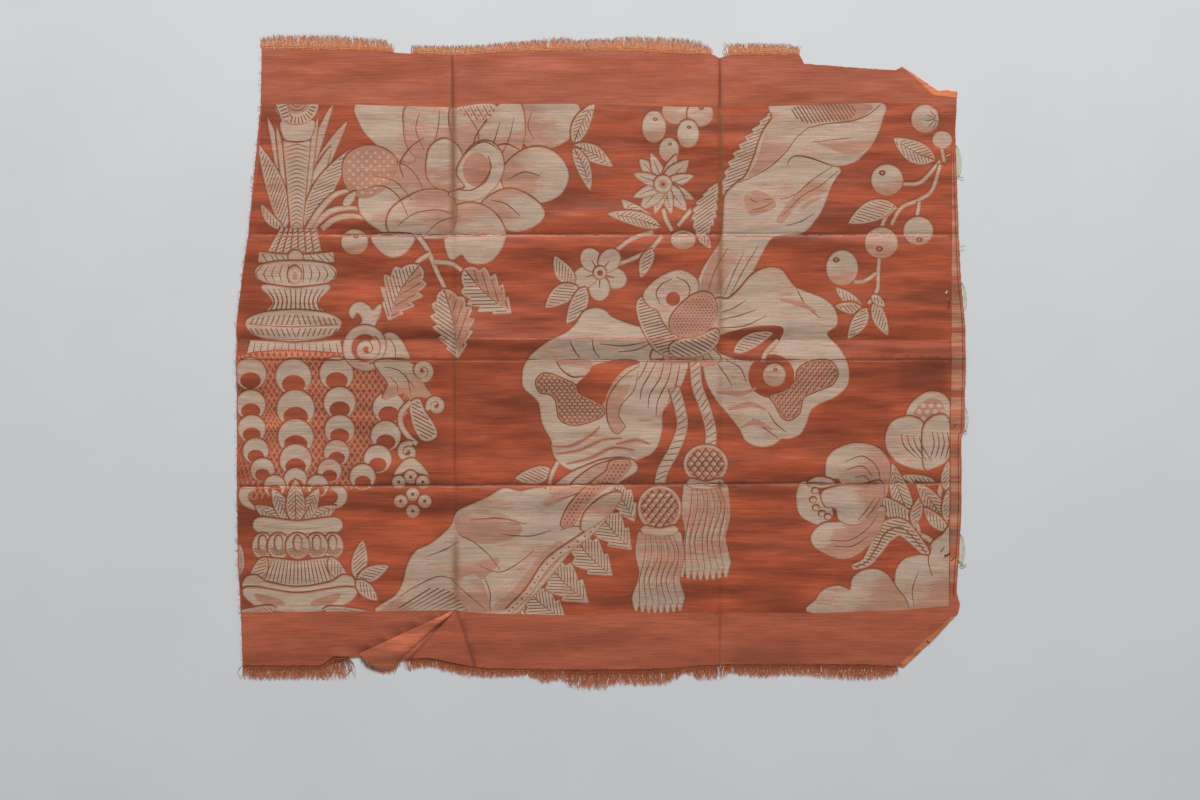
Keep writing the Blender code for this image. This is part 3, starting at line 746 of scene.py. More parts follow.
def ribbon(line, widths):
    """A band along a line, with its widths at the start, the middle and the end."""
    run = np.gradient(line, axis=0)
    length = np.maximum(np.hypot(run[:, 0], run[:, 1]), FLAT_LIMIT)
    normal = np.column_stack((run[:, 1], -run[:, 0])) / length[:, None]
    half = np.interp(np.linspace(0.0, 1.0, len(line)), (0.0, 0.5, 1.0), widths) / 2.0
    offset = normal * half[:, None]
    return np.concatenate((line + offset, (line - offset)[::-1]))


def direction(angle):
    """The unit step at an angle in degrees."""
    return np.array((math.cos(math.radians(angle)), math.sin(math.radians(angle))))


def turned(points, angle):
    cosine, sine = direction(angle)
    return np.asarray(points, float) @ np.array(((cosine, sine), (-sine, cosine)))


def round_loop(centre, across, down=None, turn=0.0):
    down = across if down is None else down
    count = int(np.clip(math.tau * max(across, down) / CURVE_STEP, *ROUND_STEPS))
    angles = np.arange(count) * math.tau / count
    loop = np.column_stack((across * np.cos(angles), down * np.sin(angles)))
    return turned(loop, turn) + centre


def spiral(centre, start_radius, end_radius, start_angle, turns):
    """A line winding from one radius to another; positive turns run clockwise as drafted."""
    count = max(int(abs(turns) * SPIRAL_STEPS), LEAST_SPIRAL_STEPS)
    share = np.linspace(0.0, 1.0, count)
    radius = blend(start_radius, end_radius, share)
    angle = math.radians(start_angle) + math.tau * turns * share
    return np.column_stack((centre[0] + radius * np.cos(angle), centre[1] + radius * np.sin(angle)))


def leaf_loop(tip, base, width, bend=0.0, teeth=0):
    """The outline of a leaf, bent sideways and with or without teeth, and its spine."""
    tip, base = np.asarray(tip, float), np.asarray(base, float)
    run = tip - base
    side = np.array((run[1], -run[0])) / np.hypot(*run)
    share = np.linspace(0.0, 1.0, LEAF_STEPS * max(teeth, 1) // max(teeth // 3, 1) + 1)
    half = width / 2.0 * np.sin(math.pi * share ** LEAF_FULLNESS) ** LEAF_BLUNTNESS
    if teeth:
        half = half * (TOOTH_WIDTHS[0] + TOOTH_WIDTHS[1] * (1.0 - (share * teeth) % 1.0))
    spine = base + run * share[:, None] + side * (bend * np.sin(math.pi * share))[:, None]
    offset = side * half[:, None]
    return np.concatenate((spine + offset, (spine - offset)[-2:0:-1])), spine


class Draft:
    """The woven design: shapes painted over each other, each in one tone of the weave.

    A shade is a start, an end and a strength: from one to the other the weave mixes in more of
    the darker weft.
    """

    def __init__(self, borders):
        self.shapes = []
        self.borders = borders

    def paint(self, points, tone, shade=None, kept_in=True):
        """Paint a loop, by default kept inside the borders of the figured field."""
        points = np.array(points, float)
        if kept_in:
            top, right, bottom, left = self.borders
            points[:, 1] = np.maximum(points[:, 1], read_table(top, points[:, 0]))
            points[:, 1] = np.minimum(points[:, 1], read_table(bottom, points[:, 0]))
            points[:, 0] = np.minimum(points[:, 0], read_table(right, points[:, 1]))
            points[:, 0] = np.maximum(points[:, 0], read_table(left, points[:, 1]))
        if shade is not None:
            start, end = to_cloth(shade[:2])
            shade = (start, end - start, shade[2])
        self.shapes.append((to_cloth(points), TONE_NAMES.index(tone), shade))

    def shape(self, points, tone="cream", shade=None, halo=True, smoothed=True):
        """A motif with its dark outline, shifted as a painted drop shadow, and its soft rim."""
        loop = curve(points, True) if smoothed else np.asarray(points, float)
        if halo:
            self.paint(outset(loop, HALO) + DROP_SHADOW_SHIFT, "line")
            self.paint(outset(loop, RIM), "rim")
        self.paint(loop, tone, shade)
        return loop

    def line(self, points, width=1.3, tone="line"):
        """A drawn line, half as wide at its ends."""
        width = width * LINE_WEIGHT
        self.paint(ribbon(curve(points), (width / 2.0, width, width / 2.0)), tone)

    def lines(self, width, paths):
        for points in paths:
            self.line(points, width)

    def stroke(self, points, widths):
        """A straight dark stroke, with its widths at the start, the middle and the end."""
        self.paint(ribbon(np.array(points, float), widths), "line")

    def rays(self, centre, radii, angles, widths):
        """Strokes round a centre, from one radius to another."""
        for angle in angles:
            self.stroke(np.array(centre) + np.array(radii)[:, None] * direction(angle), widths)

    def band(self, points, widths, tone="cream", shade=None, halo=True, smoothed=True):
        """A ribbon along a line, with a motif's rim and dark outline as painted shadow; gives its path."""
        path = curve(points) if smoothed else np.asarray(points, float)
        widths = np.asarray(widths, float)
        if halo:
            self.paint(ribbon(path, widths + 2.0 * HALO) + DROP_SHADOW_SHIFT, "line")
            self.paint(ribbon(path, widths + 2.0 * RIM), "rim")
        self.paint(ribbon(path, widths), tone, shade)
        return path

    def disc(self, centre, across, down=None, tone="cream", shade=None, halo=True, turn=0.0):
        loop = round_loop(centre, across, down, turn)
        return self.shape(loop, tone, shade, halo, smoothed=False)

    def hatch(self, loop, angle, pitch, width, tone="line"):
        """Parallel strokes across a loop, cut off at its edge."""
        flat = turned(loop, -angle)
        after = np.roll(flat, -1, axis=0)
        for level in np.arange(flat[:, 1].min() + pitch / 2.0, flat[:, 1].max(), pitch):
            crossed = (flat[:, 1] > level) != (after[:, 1] > level)
            start, end = flat[crossed], after[crossed]
            share = (level - start[:, 1]) / (end[:, 1] - start[:, 1])
            places = np.sort(start[:, 0] + (end[:, 0] - start[:, 0]) * share)
            for low, high in zip(places[::2], places[1::2]):
                if high - low > SHORTEST_STROKE * width:
                    half = width / 2.0
                    stroke = (
                        (low + half, level - half), (high - half, level - half),
                        (high - half, level + half), (low + half, level + half),
                    )
                    self.paint(turned(stroke, angle), tone)

    def dots(self, loop, pitch, radius, tone="cream"):
        """Staggered dots inside a loop."""
        loop = np.asarray(loop, float)
        low, high = loop.min(axis=0), loop.max(axis=0)
        for row, y in enumerate(np.arange(low[1] + radius, high[1], pitch[1])):
            x = np.arange(low[0] + radius + (row % 2) * pitch[0] / 2.0, high[0], pitch[0])
            places = np.column_stack((x, np.full(len(x), y)))
            for place in places[inside_polygon(places, outset(loop, -radius - DOT_MARGIN))]:
                self.paint(round_loop(place, radius), tone)

    def leaf(self, tip, base, width, bend=0.0, kind="hatched", teeth=0):
        """A leaf with the strokes of its kind."""
        loop, spine = leaf_loop(tip, base, width, bend, teeth)
        run = spine[-1] - spine[0]
        angle = math.degrees(math.atan2(run[1], run[0]))
        self.shape(loop, smoothed=False)
        half = len(loop) // 2
        parts = {
            "whole": loop,
            "left": np.vstack((loop[:half + 1], spine[::-1])),
            "right": np.vstack((loop[half:], spine)),
        }
        if kind == "split":
            self.paint(outset(parts["left"], -DARK_HALF_INSET), "pink")
        for part, inset, slant, pitch, width_here in LEAF_STROKES[kind]:
            self.hatch(outset(parts[part], -inset), angle + slant, pitch, width_here)
        if kind in RIBBED_LEAVES:
            self.paint(ribbon(spine[:int(RIB_SHARE * len(spine))], RIB_WIDTHS), "line")

    def rope(self, points, width):
        """A twisted cord."""
        path = self.band(points, (width, width, width))
        steps = np.hypot(*np.diff(path, axis=0).T).cumsum()
        for place in np.arange(ROPE_START, steps[-1], ROPE_PITCH):
            index = int(np.searchsorted(steps, place))
            run = path[index + 1] - path[index]
            run = run / np.hypot(*run)
            out = np.array((run[1], -run[0])) * width * ROPE_SHARE
            rise = run * ROPE_RISE
            self.stroke((path[index] + out - rise, path[index] - out + rise), ROPE_STROKE)

    def berry(self, centre, across, down, spot=True):
        """A round fruit, with its spot near the top, at a place of its own or not at all."""
        below = (centre[0], centre[1] + down)
        above = (centre[0], centre[1] - down * BERRY_SHADE_START)
        self.disc(centre, across, down, "cream", (above, below, BERRY_SHADE))
        if spot:
            usual = (centre[0] + across * SPOT_PLACE[0], centre[1] - down * SPOT_PLACE[1])
            place = spot if isinstance(spot, tuple) else usual
            for (wide, high), tone in ((SPOT_SIZE, "line"), (SPOT_HEART_SIZE, "pink")):
                self.disc(place, across * wide, across * high, tone, halo=False)

    def crescent(self, centre, radius, thickness):
        """A disc whose lower part is hollowed out."""
        self.disc(centre, radius)
        inner = radius - thickness / 2.0
        place = (centre[0], centre[1] + thickness * CRESCENT_DROP)
        self.disc(place, inner, inner * CRESCENT_FLATNESS, "ground", halo=False)

    def lattice(self, loop, angle, pitch, width, dot=0.0, mesh="line", cells="pink"):
        """Crossing lines over a plain tone, with or without dots in their diamonds."""
        self.paint(loop, cells)
        inner = outset(np.asarray(loop, float), -LATTICE_INSET)
        self.hatch(inner, angle, pitch, width, mesh)
        self.hatch(inner, -angle, pitch, width, mesh)
        if dot:
            across = pitch / math.sin(math.radians(angle))
            down = pitch / math.cos(math.radians(angle)) / 2.0
            self.dots(inner, (across, down), dot)


def triangulate(loops, lines, loose):
    """Triangles over closed loops, open lines and loose points, cut along all their edges."""
    points, edges = [], []
    for line, closed in [(loop, True) for loop in loops] + [(line, False) for line in lines]:
        first = len(points)
        points += [Vector(point) for point in line]
        edges += [(index, index + 1) for index in range(first, len(points) - 1)]
        if closed:
            edges.append((len(points) - 1, first))
    points += [Vector(point) for point in loose]
    result = delaunay_2d_cdt(points, edges, [], 0, WELD_DISTANCE)
    flat = np.round([tuple(point) for point in result[0]], DIGITS)
    return flat, np.array(result[2], int)


def grid_points(outline, columns, rows):
    x, y = np.meshgrid(columns, rows)
    points = np.column_stack((x.ravel(), y.ravel()))
    return points[inside_polygon(points, outline)]


def crease_places(start, stop, step, creases, offsets):
    """Evenly spaced places, with closer ones on both sides of each crease."""
    places = set(np.round(np.arange(start, stop, step), DIGITS))
    for crease in creases:
        for offset in offsets:
            places |= {round(crease - offset, DIGITS), round(crease + offset, DIGITS)}
    return sorted(places)


def crease_lines(x, y):
    """For each crease: distance from it, how dark its painted shade is, and where its groove runs out."""
    side = smooth((HALF_WIDTH - GROOVE_MARGIN - np.abs(x)) / GROOVE_FADE)
    top = smooth((TOP_FADE_Y - GROOVE_FADE - y) / GROOVE_FADE)
    lengthwise = (
        (x - fold_one_x(y), FOLD_ONE_DARKNESS, smooth((y - FAN_POINT[1] - GROOVE_FADE) / GROOVE_FADE)),
        (x - FOLD_TWO_X, FOLD_TWO_DARKNESS, smooth((y - HEM_FADE_Y - GROOVE_FADE) / GROOVE_FADE)),
    )
    for distance, table, bottom in lengthwise:
        yield distance, read_table(table, y), top * bottom
    for place, table in (
        (FOLD_UPPER_Y, UPPER_DARKNESS), (FOLD_MIDDLE_Y, MIDDLE_DARKNESS),
        (lower_fold_y(x), LOWER_DARKNESS),
    ):
        yield y - place, read_table(table, x), side


def fan_shadow(x, y):
    """Shadow beside the folded edge of the flap, and along the two creases of the fan."""
    amount = np.zeros(len(x))
    for end, darkness, reach, one_side in (
        (FLAP_HEM[0][1:], EDGE_SHADOW, EDGE_SHADOW_REACH, True),
        (FLAP_HEM[-1][1:], FAN_CREASE_DARKNESS, CREASE_HALF_WIDTH, False),
        (PANEL_HEM[-1][1:], FAN_CREASE_DARKNESS, CREASE_HALF_WIDTH, False),
    ):
        run = np.array(end) - FAN_POINT
        length = np.hypot(*run)
        run = run / length
        along = (x - FAN_POINT[0]) * run[0] + (y - FAN_POINT[1]) * run[1]
        beside = (x - FAN_POINT[0]) * run[1] - (y - FAN_POINT[1]) * run[0]
        near = np.maximum(1.0 - np.abs(beside) / reach, 0.0) * (along > 0.0) * (along < length + reach)
        if one_side:
            near = near * (beside > -EDGE_TOLERANCE) * smooth(along / GROOVE_MARGIN)
        amount = np.maximum(amount, darkness * near)
    return amount


def shadow_at(x, y):
    """How much painted shade darkens the satin at each place; below zero it is a painted sheen."""
    amount = np.zeros(len(x))
    for left, right, low, high, darkness in PAINTED_SHADE_AND_SHEEN:
        across = smooth((x - left) / SHADE_FADE + 0.5) * smooth((right - x) / SHADE_FADE + 0.5)
        fade = min(SHADE_FADE, (high - low) / 2.0)
        along = smooth((y - low) / fade + 0.5) * smooth((high - y) / fade + 0.5)
        amount = amount + darkness * across * along
    return np.clip(np.maximum(amount, crease_at(x, y)) + fan_shadow(x, y), -1.0, 1.0)


def crease_at(x, y, groove=False):
    """Painted shade of the creases at each place, or the depth of their grooves."""
    amount = np.zeros(len(x))
    for distance, darkness, fade in crease_lines(x, y):
        near = np.maximum(1.0 - np.abs(distance) / CREASE_HALF_WIDTH, 0.0)
        amount = np.maximum(amount, near * (GROOVE_DEPTH * fade if groove else darkness))
    return amount


def stain_at(x, y):
    """How brown the cloth is along the two lengthwise folds."""
    amount = np.zeros(len(x))
    for fold, low, high, half_width, strength in STAINS:
        fold_x = fold_one_x(y) if fold == 1 else FOLD_TWO_X + (FOLD_TWO_LEAN * y / HALF_WIDTH)
        along = smooth((y - low) / STAIN_FADE) * smooth((high - y) / STAIN_FADE)
        across = np.maximum(1.0 - np.abs(x - fold_x) / half_width, 0.0)
        amount = np.maximum(amount, strength * along * across)
    return amount


def tones_of(centres, corners, shapes):
    """The tone of each triangle and the shade at its corners, from the last shape over it."""
    tone = np.zeros(len(centres), int)
    shade = np.zeros(corners.shape[:2])
    order = np.argsort(centres[:, 0])
    sorted_x = centres[order, 0]
    for polygon, index, slope in shapes:
        low, high = polygon.min(axis=0), polygon.max(axis=0)
        near = order[np.searchsorted(sorted_x, low[0]):np.searchsorted(sorted_x, high[0])]
        near = near[(centres[near, 1] > low[1]) & (centres[near, 1] < high[1])]
        near = near[inside_polygon(centres[near], polygon)]
        tone[near] = index
        shade[near] = 0.0
        if slope is not None:
            start, run, strength = slope
            share = ((corners[near] - start) @ run) / (run @ run)
            shade[near] = strength * smooth(share)
    return tone, shade


class Sheet:
    """The parts of the silk's closed surface, welded at the end."""

    def __init__(self):
        self.points, self.normals, self.maps, self.faces = [], [], [], []
        self.tones, self.shades, self.count = [], [], 0

    def add(self, points, normals, maps, faces, tones, shades=None):
        self.points.append(np.asarray(points, float))
        self.normals.append(np.asarray(normals, float))
        self.maps.append(np.asarray(maps, float))
        self.faces.append(np.asarray(faces, int) + self.count)
        self.tones.append(np.broadcast_to(tones, len(faces)))
        self.shades.append(np.zeros((len(faces), 3)) if shades is None else shades)
        self.count += len(points)


def bake_map(x, y, low, high):
    """Places in the bake's map: the whole width, and the rows from low to high."""
    u = (x + HALF_WIDTH) / (2.0 * HALF_WIDTH)
    v = blend(low, high, (y - MAP_BOTTOM_Y) / (MAP_TOP_Y - MAP_BOTTOM_Y))
    return np.column_stack((u, v))


def thinned(loop):
    """A closed loop without the points that lie on the way between their neighbours."""
    limit = min(THIN_LIMIT, THIN_SHARE * np.ptp(loop, axis=0).max())
    kept = [0]
    for index in range(2, len(loop) + 1):
        start = loop[kept[-1]]
        run = loop[index % len(loop)] - start
        between = loop[kept[-1] + 1:index] - start
        beside = np.abs(between[:, 0] * run[1] - between[:, 1] * run[0])
        if beside.max() > limit * np.hypot(*run):
            kept.append(index - 1)
    return loop[kept]


def even_loop(loop):
    """A closed loop whose long edges are cut up, so that they follow the folds."""
    after = np.roll(loop, -1, axis=0)
    steps = np.ceil(np.hypot(*(after - loop).T) / LONGEST_EDGE).astype(int)
    made = []
    for start, end, count in zip(loop, after, steps):
        share = np.arange(max(count, 1))[:, None] / max(count, 1)
        made.append(start + (end - start) * share)
    return np.concatenate(made)


def add_field(sheet, outline, shapes):
    """The flat part of the sheet: its woven side with the design, and its plain back."""
    folds = (FOLD_ONE_TOP[0], FOLD_TWO_X)
    columns = crease_places(-HALF_WIDTH, HALF_WIDTH, GRID_STEP, folds, CREASE_ROWS)
    creases = (FOLD_UPPER_Y, RIDGE_Y, FOLD_MIDDLE_Y, FOLD_LOWER_Y + FOLD_LOWER_RISE / 2.0)
    rows = crease_places(MAP_BOTTOM_Y, MAP_TOP_Y, GRID_STEP, creases, CREASE_ROWS)
    lines = [
        ((-HALF_WIDTH, FOLD_UPPER_Y), (HALF_WIDTH, FOLD_UPPER_Y)),
        ((-HALF_WIDTH, RIDGE_Y), (HALF_WIDTH, RIDGE_Y)),
        ((-HALF_WIDTH, FOLD_MIDDLE_Y), (HALF_WIDTH, FOLD_MIDDLE_Y)),
        ((-HALF_WIDTH, lower_fold_y(-HALF_WIDTH)), (HALF_WIDTH, lower_fold_y(HALF_WIDTH))),
        (FAN_POINT, FOLD_ONE_TOP),
    ]
    loops = [outline] + [even_loop(thinned(shape[0])) for shape in shapes]
    flat, faces = triangulate(loops, lines, grid_points(outline, columns, rows))
    centres = flat[faces].mean(axis=1)
    kept = inside_polygon(centres, outline)
    faces, centres = faces[kept], centres[kept]
    tones, shades = tones_of(centres, flat[faces], shapes)
    x, y = flat[:, 0], flat[:, 1]
    top = np.column_stack((x, y, woven_side(x, y)))
    normals = surface_normals(woven_side, x, y)
    sheet.add(top, normals, bake_map(x, y, *FACE_ROWS), faces, tones, shades)

    columns = crease_places(-HALF_WIDTH, HALF_WIDTH, BACK_STEP, folds, BACK_CREASE_ROWS)
    rows = crease_places(MAP_BOTTOM_Y, MAP_TOP_Y, BACK_STEP, creases, BACK_CREASE_ROWS)
    flat, faces = triangulate([outline], lines, grid_points(outline, columns, rows))
    faces = faces[inside_polygon(flat[faces].mean(axis=1), outline)]
    x, y = flat[:, 0], flat[:, 1]
    middle = field_lift(x, y) + SOLID_THICKNESS / 2.0
    bottom = np.column_stack((x, y, middle - SILK_THICKNESS / 2.0))
    back = TONE_NAMES.index("back")
    normals = -surface_normals(field_lift, x, y)
    sheet.add(bottom, normals, bake_map(x, y, *BACK_ROWS), faces[:, ::-1], back)


def fan_grid():
    """Points and normals of the fan's middle surface, by rows from its point to the hem."""
    points = np.array([fan_points(row / FAN_ROWS) for row in range(FAN_ROWS + 1)])
    points[:, (0, -1)] = np.round(points[:, (0, -1)], DIGITS)
    across = np.gradient(points, axis=1)
    along = -np.gradient(points, axis=0)
    normals = np.cross(across, along)
    lengths = np.linalg.norm(normals, axis=2)
    normals[lengths < FLAT_LIMIT] = (0.0, 0.0, 1.0)
    normals[:, 0] = (0.0, 0.0, 1.0)
    normals[:, -1] = (0.0, 0.0, 1.0)
    normals[0] = (0.0, 0.0, 1.0)
    return points, normals / np.linalg.norm(normals, axis=2)[:, :, None]


def add_fan(sheet, points, normals):
    """The fan pleat: a grid of rows whose columns all meet at its point."""
    rows, columns = points.shape[:2]
    index = np.arange(rows * columns).reshape(rows, columns)
    a, b, c, d = index[:-1, :-1], index[1:, :-1], index[1:, 1:], index[:-1, 1:]
    faces = np.concatenate([
        np.stack((a, b, c), axis=-1).reshape(-1, 3),
        np.stack((a, c, d), axis=-1).reshape(-1, 3),
    ])
    u, v = np.meshgrid(np.linspace(0.0, 1.0, columns), np.linspace(0.0, 1.0, rows))
    height = SOLID_THICKNESS / 2.0
    column = np.tile(np.arange(columns - 1), rows - 1)
    column = np.concatenate((column, column))
    # The flap takes the lighter flap tone as painted light; the panel beside it stays plain.
    fan_tones = np.where(column < columns - 1 - PANEL_COLUMNS, TONE_NAMES.index("flap"), 0)
    for side, start, tones in (
        (1.0, FAN_FACE_COLUMN, fan_tones), (-1.0, FAN_BACK_COLUMN, TONE_NAMES.index("back")),
    ):
        place = points + normals * side * SILK_THICKNESS / 2.0
        place[:, :, 2] += height
        place_map = np.stack((start + FAN_MAP_WIDTH * u, blend(*FAN_ROWS_IN_MAP, v)), axis=-1)
        facing = faces if side > 0.0 else faces[:, ::-1]
        sheet.add(
            place.reshape(-1, 3), side * normals.reshape(-1, 3), place_map.reshape(-1, 2),
            facing, tones,
        )


def add_rim(sheet, middle, up):
    """The cut edge along an open line of the middle surface, walked clockwise round the sheet."""
    middle, up = np.asarray(middle), np.asarray(up)
    half = up * SILK_THICKNESS / 2.0
    rise = np.array((0.0, 0.0, SOLID_THICKNESS / 2.0))
    points = np.concatenate((middle + rise + half, middle + rise - half))
    run = np.gradient(middle, axis=0)
    out = np.cross(up, run)
    out /= np.linalg.norm(out, axis=1)[:, None]
    count = len(middle)
    p = np.arange(count - 1)
    faces = np.concatenate((
        np.column_stack((p, p + 1, p + 1 + count)),
        np.column_stack((p, p + 1 + count, p + count)),
    ))
    maps = bake_map(points[:, 0], points[:, 1], *FACE_ROWS)
    sheet.add(points, np.concatenate((out, out)), maps, faces, TONE_NAMES.index("edge"))


def build_sheet(shapes):
    """The whole sheet as one closed mesh, with its tones, shades and stains as attributes."""
    draw = random.Random(EDGE_SEED)
    fan, fan_normals = fan_grid()
    sides = [even_points(line, EDGE_STEP, EDGE_WANDER, draw) for line in (CUT_SIDE, TOP_EDGE, SELVEDGE)]
    hem = even_points(HEM, EDGE_STEP, EDGE_WANDER, draw)
    fan_right = [tuple(point[:2]) for point in fan[::-1, -1]]
    fan_left = [tuple(point[:2]) for point in fan[:, 0]]
    cut_hem = even_points((fan_left[-1],) + CUT_HEM, EDGE_STEP, EDGE_WANDER, draw)
    before_fan = sides[0] + sides[1] + sides[2] + hem
    outline = before_fan + fan_right + fan_left[1:] + cut_hem[1:]

    sheet = Sheet()
    add_field(sheet, outline, shapes)
    add_fan(sheet, fan, fan_normals)
    for line in (before_fan + fan_right[:1], cut_hem + before_fan[:1]):
        line = np.array(line)
        lift = field_lift(line[:, 0], line[:, 1])
        up = np.tile((0.0, 0.0, 1.0), (len(line), 1))
        add_rim(sheet, np.column_stack((line, lift)), up)
    add_rim(sheet, fan[-1, ::-1], fan_normals[-1, ::-1])

    points = np.concatenate(sheet.points)
    faces = np.concatenate(sheet.faces)
    keys = np.round(points / WELD_DISTANCE).astype(np.int64)
    _, kept, welded = np.unique(keys, axis=0, return_index=True, return_inverse=True)
    joined = welded.reshape(-1)[faces]
    whole = (joined[:, 0] != joined[:, 1]) & (joined[:, 1] != joined[:, 2])
    whole &= joined[:, 0] != joined[:, 2]
    joined, faces = joined[whole], faces[whole]
    tones = np.concatenate(sheet.tones)[whole]
    shades = np.concatenate(sheet.shades)[whole]

    mesh = bpy.data.meshes.new("brocade_sheet")
    mesh.from_pydata((points[kept] * MM).tolist(), [], joined.tolist())
    tone = mesh.attributes.new("tone", "FLOAT_COLOR", "FACE")
    colours = np.array([(*colour, weft) for colour, weft in TONES.values()])
    tone.data.foreach_set("color", colours[tones].astype(np.float32).ravel())
    shade = mesh.attributes.new("shade", "FLOAT", "CORNER")
    shade.data.foreach_set("value", shades.astype(np.float32).ravel())
    for name, amount_at in (("stain", stain_at), ("shadow", shadow_at)):
        amount = mesh.attributes.new(name, "FLOAT", "POINT")
        amounts = amount_at(points[kept, 0], points[kept, 1])
        amount.data.foreach_set("value", amounts.astype(np.float32))
    bake = mesh.uv_layers.new(name="OFBake")
    maps = np.concatenate(sheet.maps)[faces].reshape(-1)
    bake.data.foreach_set("uv", maps.astype(np.float32))
    mesh.shade_smooth()
    normals = np.concatenate(sheet.normals)[faces].reshape(-1, 3)
    mesh.normals_split_custom_set(normals.tolist())
    piece = bpy.data.objects.new("brocade_sheet", mesh)
    bpy.context.scene.collection.objects.link(piece)
    return piece


class Threads:
    """Many thin threads in one mesh: three-sided tubes that taper to their tips."""

    def __init__(self):
        self.points, self.faces, self.colours = [], [], []

    def add(self, path, radius, tip_radius, colour, tip_colour):
        path = [Vector(point) for point in path]
        first = len(self.points)
        for index, point in enumerate(path):
            run = path[min(index + 1, len(path) - 1)] - path[max(index - 1, 0)]
            side = run.cross(Vector((0.0, 0.0, 1.0)))
            side = side.normalized() if side.length > FLAT_LIMIT else Vector((1.0, 0.0, 0.0))
            up = side.cross(run).normalized()
            share = index / (len(path) - 1)
            size = blend(radius, tip_radius, share)
            tint = [blend(start, end, share) for start, end in zip(colour, tip_colour)]
            for angle in THREAD_ANGLES:
                self.points.append(point + (side * math.cos(angle) + up * math.sin(angle)) * size)
                self.colours.append(tint)
        sides = len(THREAD_ANGLES)
        for index in range(len(path) - 1):
            for corner in range(sides):
                a = first + index * sides + corner
                b = first + index * sides + (corner + 1) % sides
                self.faces.append((a, b, b + sides, a + sides))
        self.faces.append(tuple(range(first, first + sides)))
        last = first + (len(path) - 1) * sides
        self.faces.append(tuple(reversed(range(last, last + sides))))

    def piece(self, name, material):
        mesh = bpy.data.meshes.new(name)
        mesh.from_pydata([tuple(point * MM) for point in self.points], [], self.faces)
        mesh.shade_smooth()
        colour = mesh.attributes.new("thread", "FLOAT_COLOR", "POINT")
        colour.data.foreach_set("color", [value for row in self.colours for value in (*row, 1.0)])
        low = np.min([tuple(point) for point in self.points], axis=0)
        size = np.ptp([tuple(point) for point in self.points], axis=0)
        bake = mesh.uv_layers.new(name="OFBake")
        corners = np.zeros(len(mesh.loops), int)
        mesh.loops.foreach_get("vertex_index", corners)
        places = (np.array([tuple(point) for point in self.points]) - low) / size
        bake.data.foreach_set("uv", places[corners, :2].astype(np.float32).ravel())
        mesh.materials.append(material)
        made = bpy.data.objects.new(name, mesh)
        bpy.context.scene.collection.objects.link(made)
        return made


def root_lift(x, y):
    """Middle of the flat sheet at its edge."""
    return float(field_lift(np.float64(x), np.float64(y))) + SOLID_THICKNESS / 2.0


def flap_root_lift(x, y):
    """Middle of the flap at its hem, whatever y is there."""
    return flap_height(float(read_table(FLAP_HEM, x, 1, 0)), FLAP_EDGE_LENGTH) + SOLID_THICKNESS / 2.0


def fringe(name, node, edge, span, side, tips, lift, colours, material, draw):
    """Frayed warp ends along one stretch of edge, with loosened wefts lying across them."""
    threads = Threads()
    count = int((span[1] - span[0]) / THREAD_PITCH)
    for index in range(count):
        x = span[0] + (index + draw.random()) * THREAD_PITCH
        edge_y = float(read_table(edge, x))
        tip_y = float(read_table(tips, x))
        lengths = SHORT_LENGTHS if index % 2 else THREAD_LENGTHS
        length = abs(tip_y - edge_y) * draw.triangular(*lengths)
        lean = draw.gauss(0.0, THREAD_LEAN)
        bend = draw.gauss(0.0, THREAD_BEND)
        root_z = lift(x, edge_y)
        path = []
        for step in range(THREAD_STEPS + 1):
            share = step / THREAD_STEPS
            out = share * length
            place_x = x + lean * share * length + bend * math.sin(math.pi * share) * length
            place_y = edge_y + side * (out - THREAD_ROOT)
            height = blend(root_z, THREAD_RADIUS, float(smooth(out / FRINGE_FALL)))
            height += THREAD_LIFT * draw.random() * share
            path.append((place_x, place_y, height))
        light = draw.uniform(*THREAD_BRIGHTNESS)
        # The root colour is painted shade and the tip colour a painted highlight.
        root, tip = [[light * value for value in colour] for colour in colours]
        threads.add(path, THREAD_RADIUS, THREAD_TIP_RADIUS, root, tip)
    for offset, light in WEFT_LINES:
        colour = [light * value for value in colours[1]]
        x = span[0] + draw.uniform(0.0, WEFT_START)
        while x < span[1] - WEFT_START:
            end = min(x + draw.uniform(*WEFT_RUN), span[1])
            path = []
            while x < end:
                edge_y = float(read_table(edge, x))
                away = offset + draw.gauss(0.0, WEFT_WANDER)
                height = blend(lift(x, edge_y), THREAD_RADIUS, float(smooth(away / FRINGE_FALL)))
                path.append((x, edge_y + side * away, height + 2.0 * THREAD_RADIUS))
                x += WEFT_STEP
            if len(path) > 2:
                threads.add(path, WEFT_RADIUS, WEFT_RADIUS, colour, colour)
            x += draw.uniform(*WEFT_SPACE)
    piece = threads.piece(name, material)
    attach(piece, "root")
    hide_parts(node)
    return piece


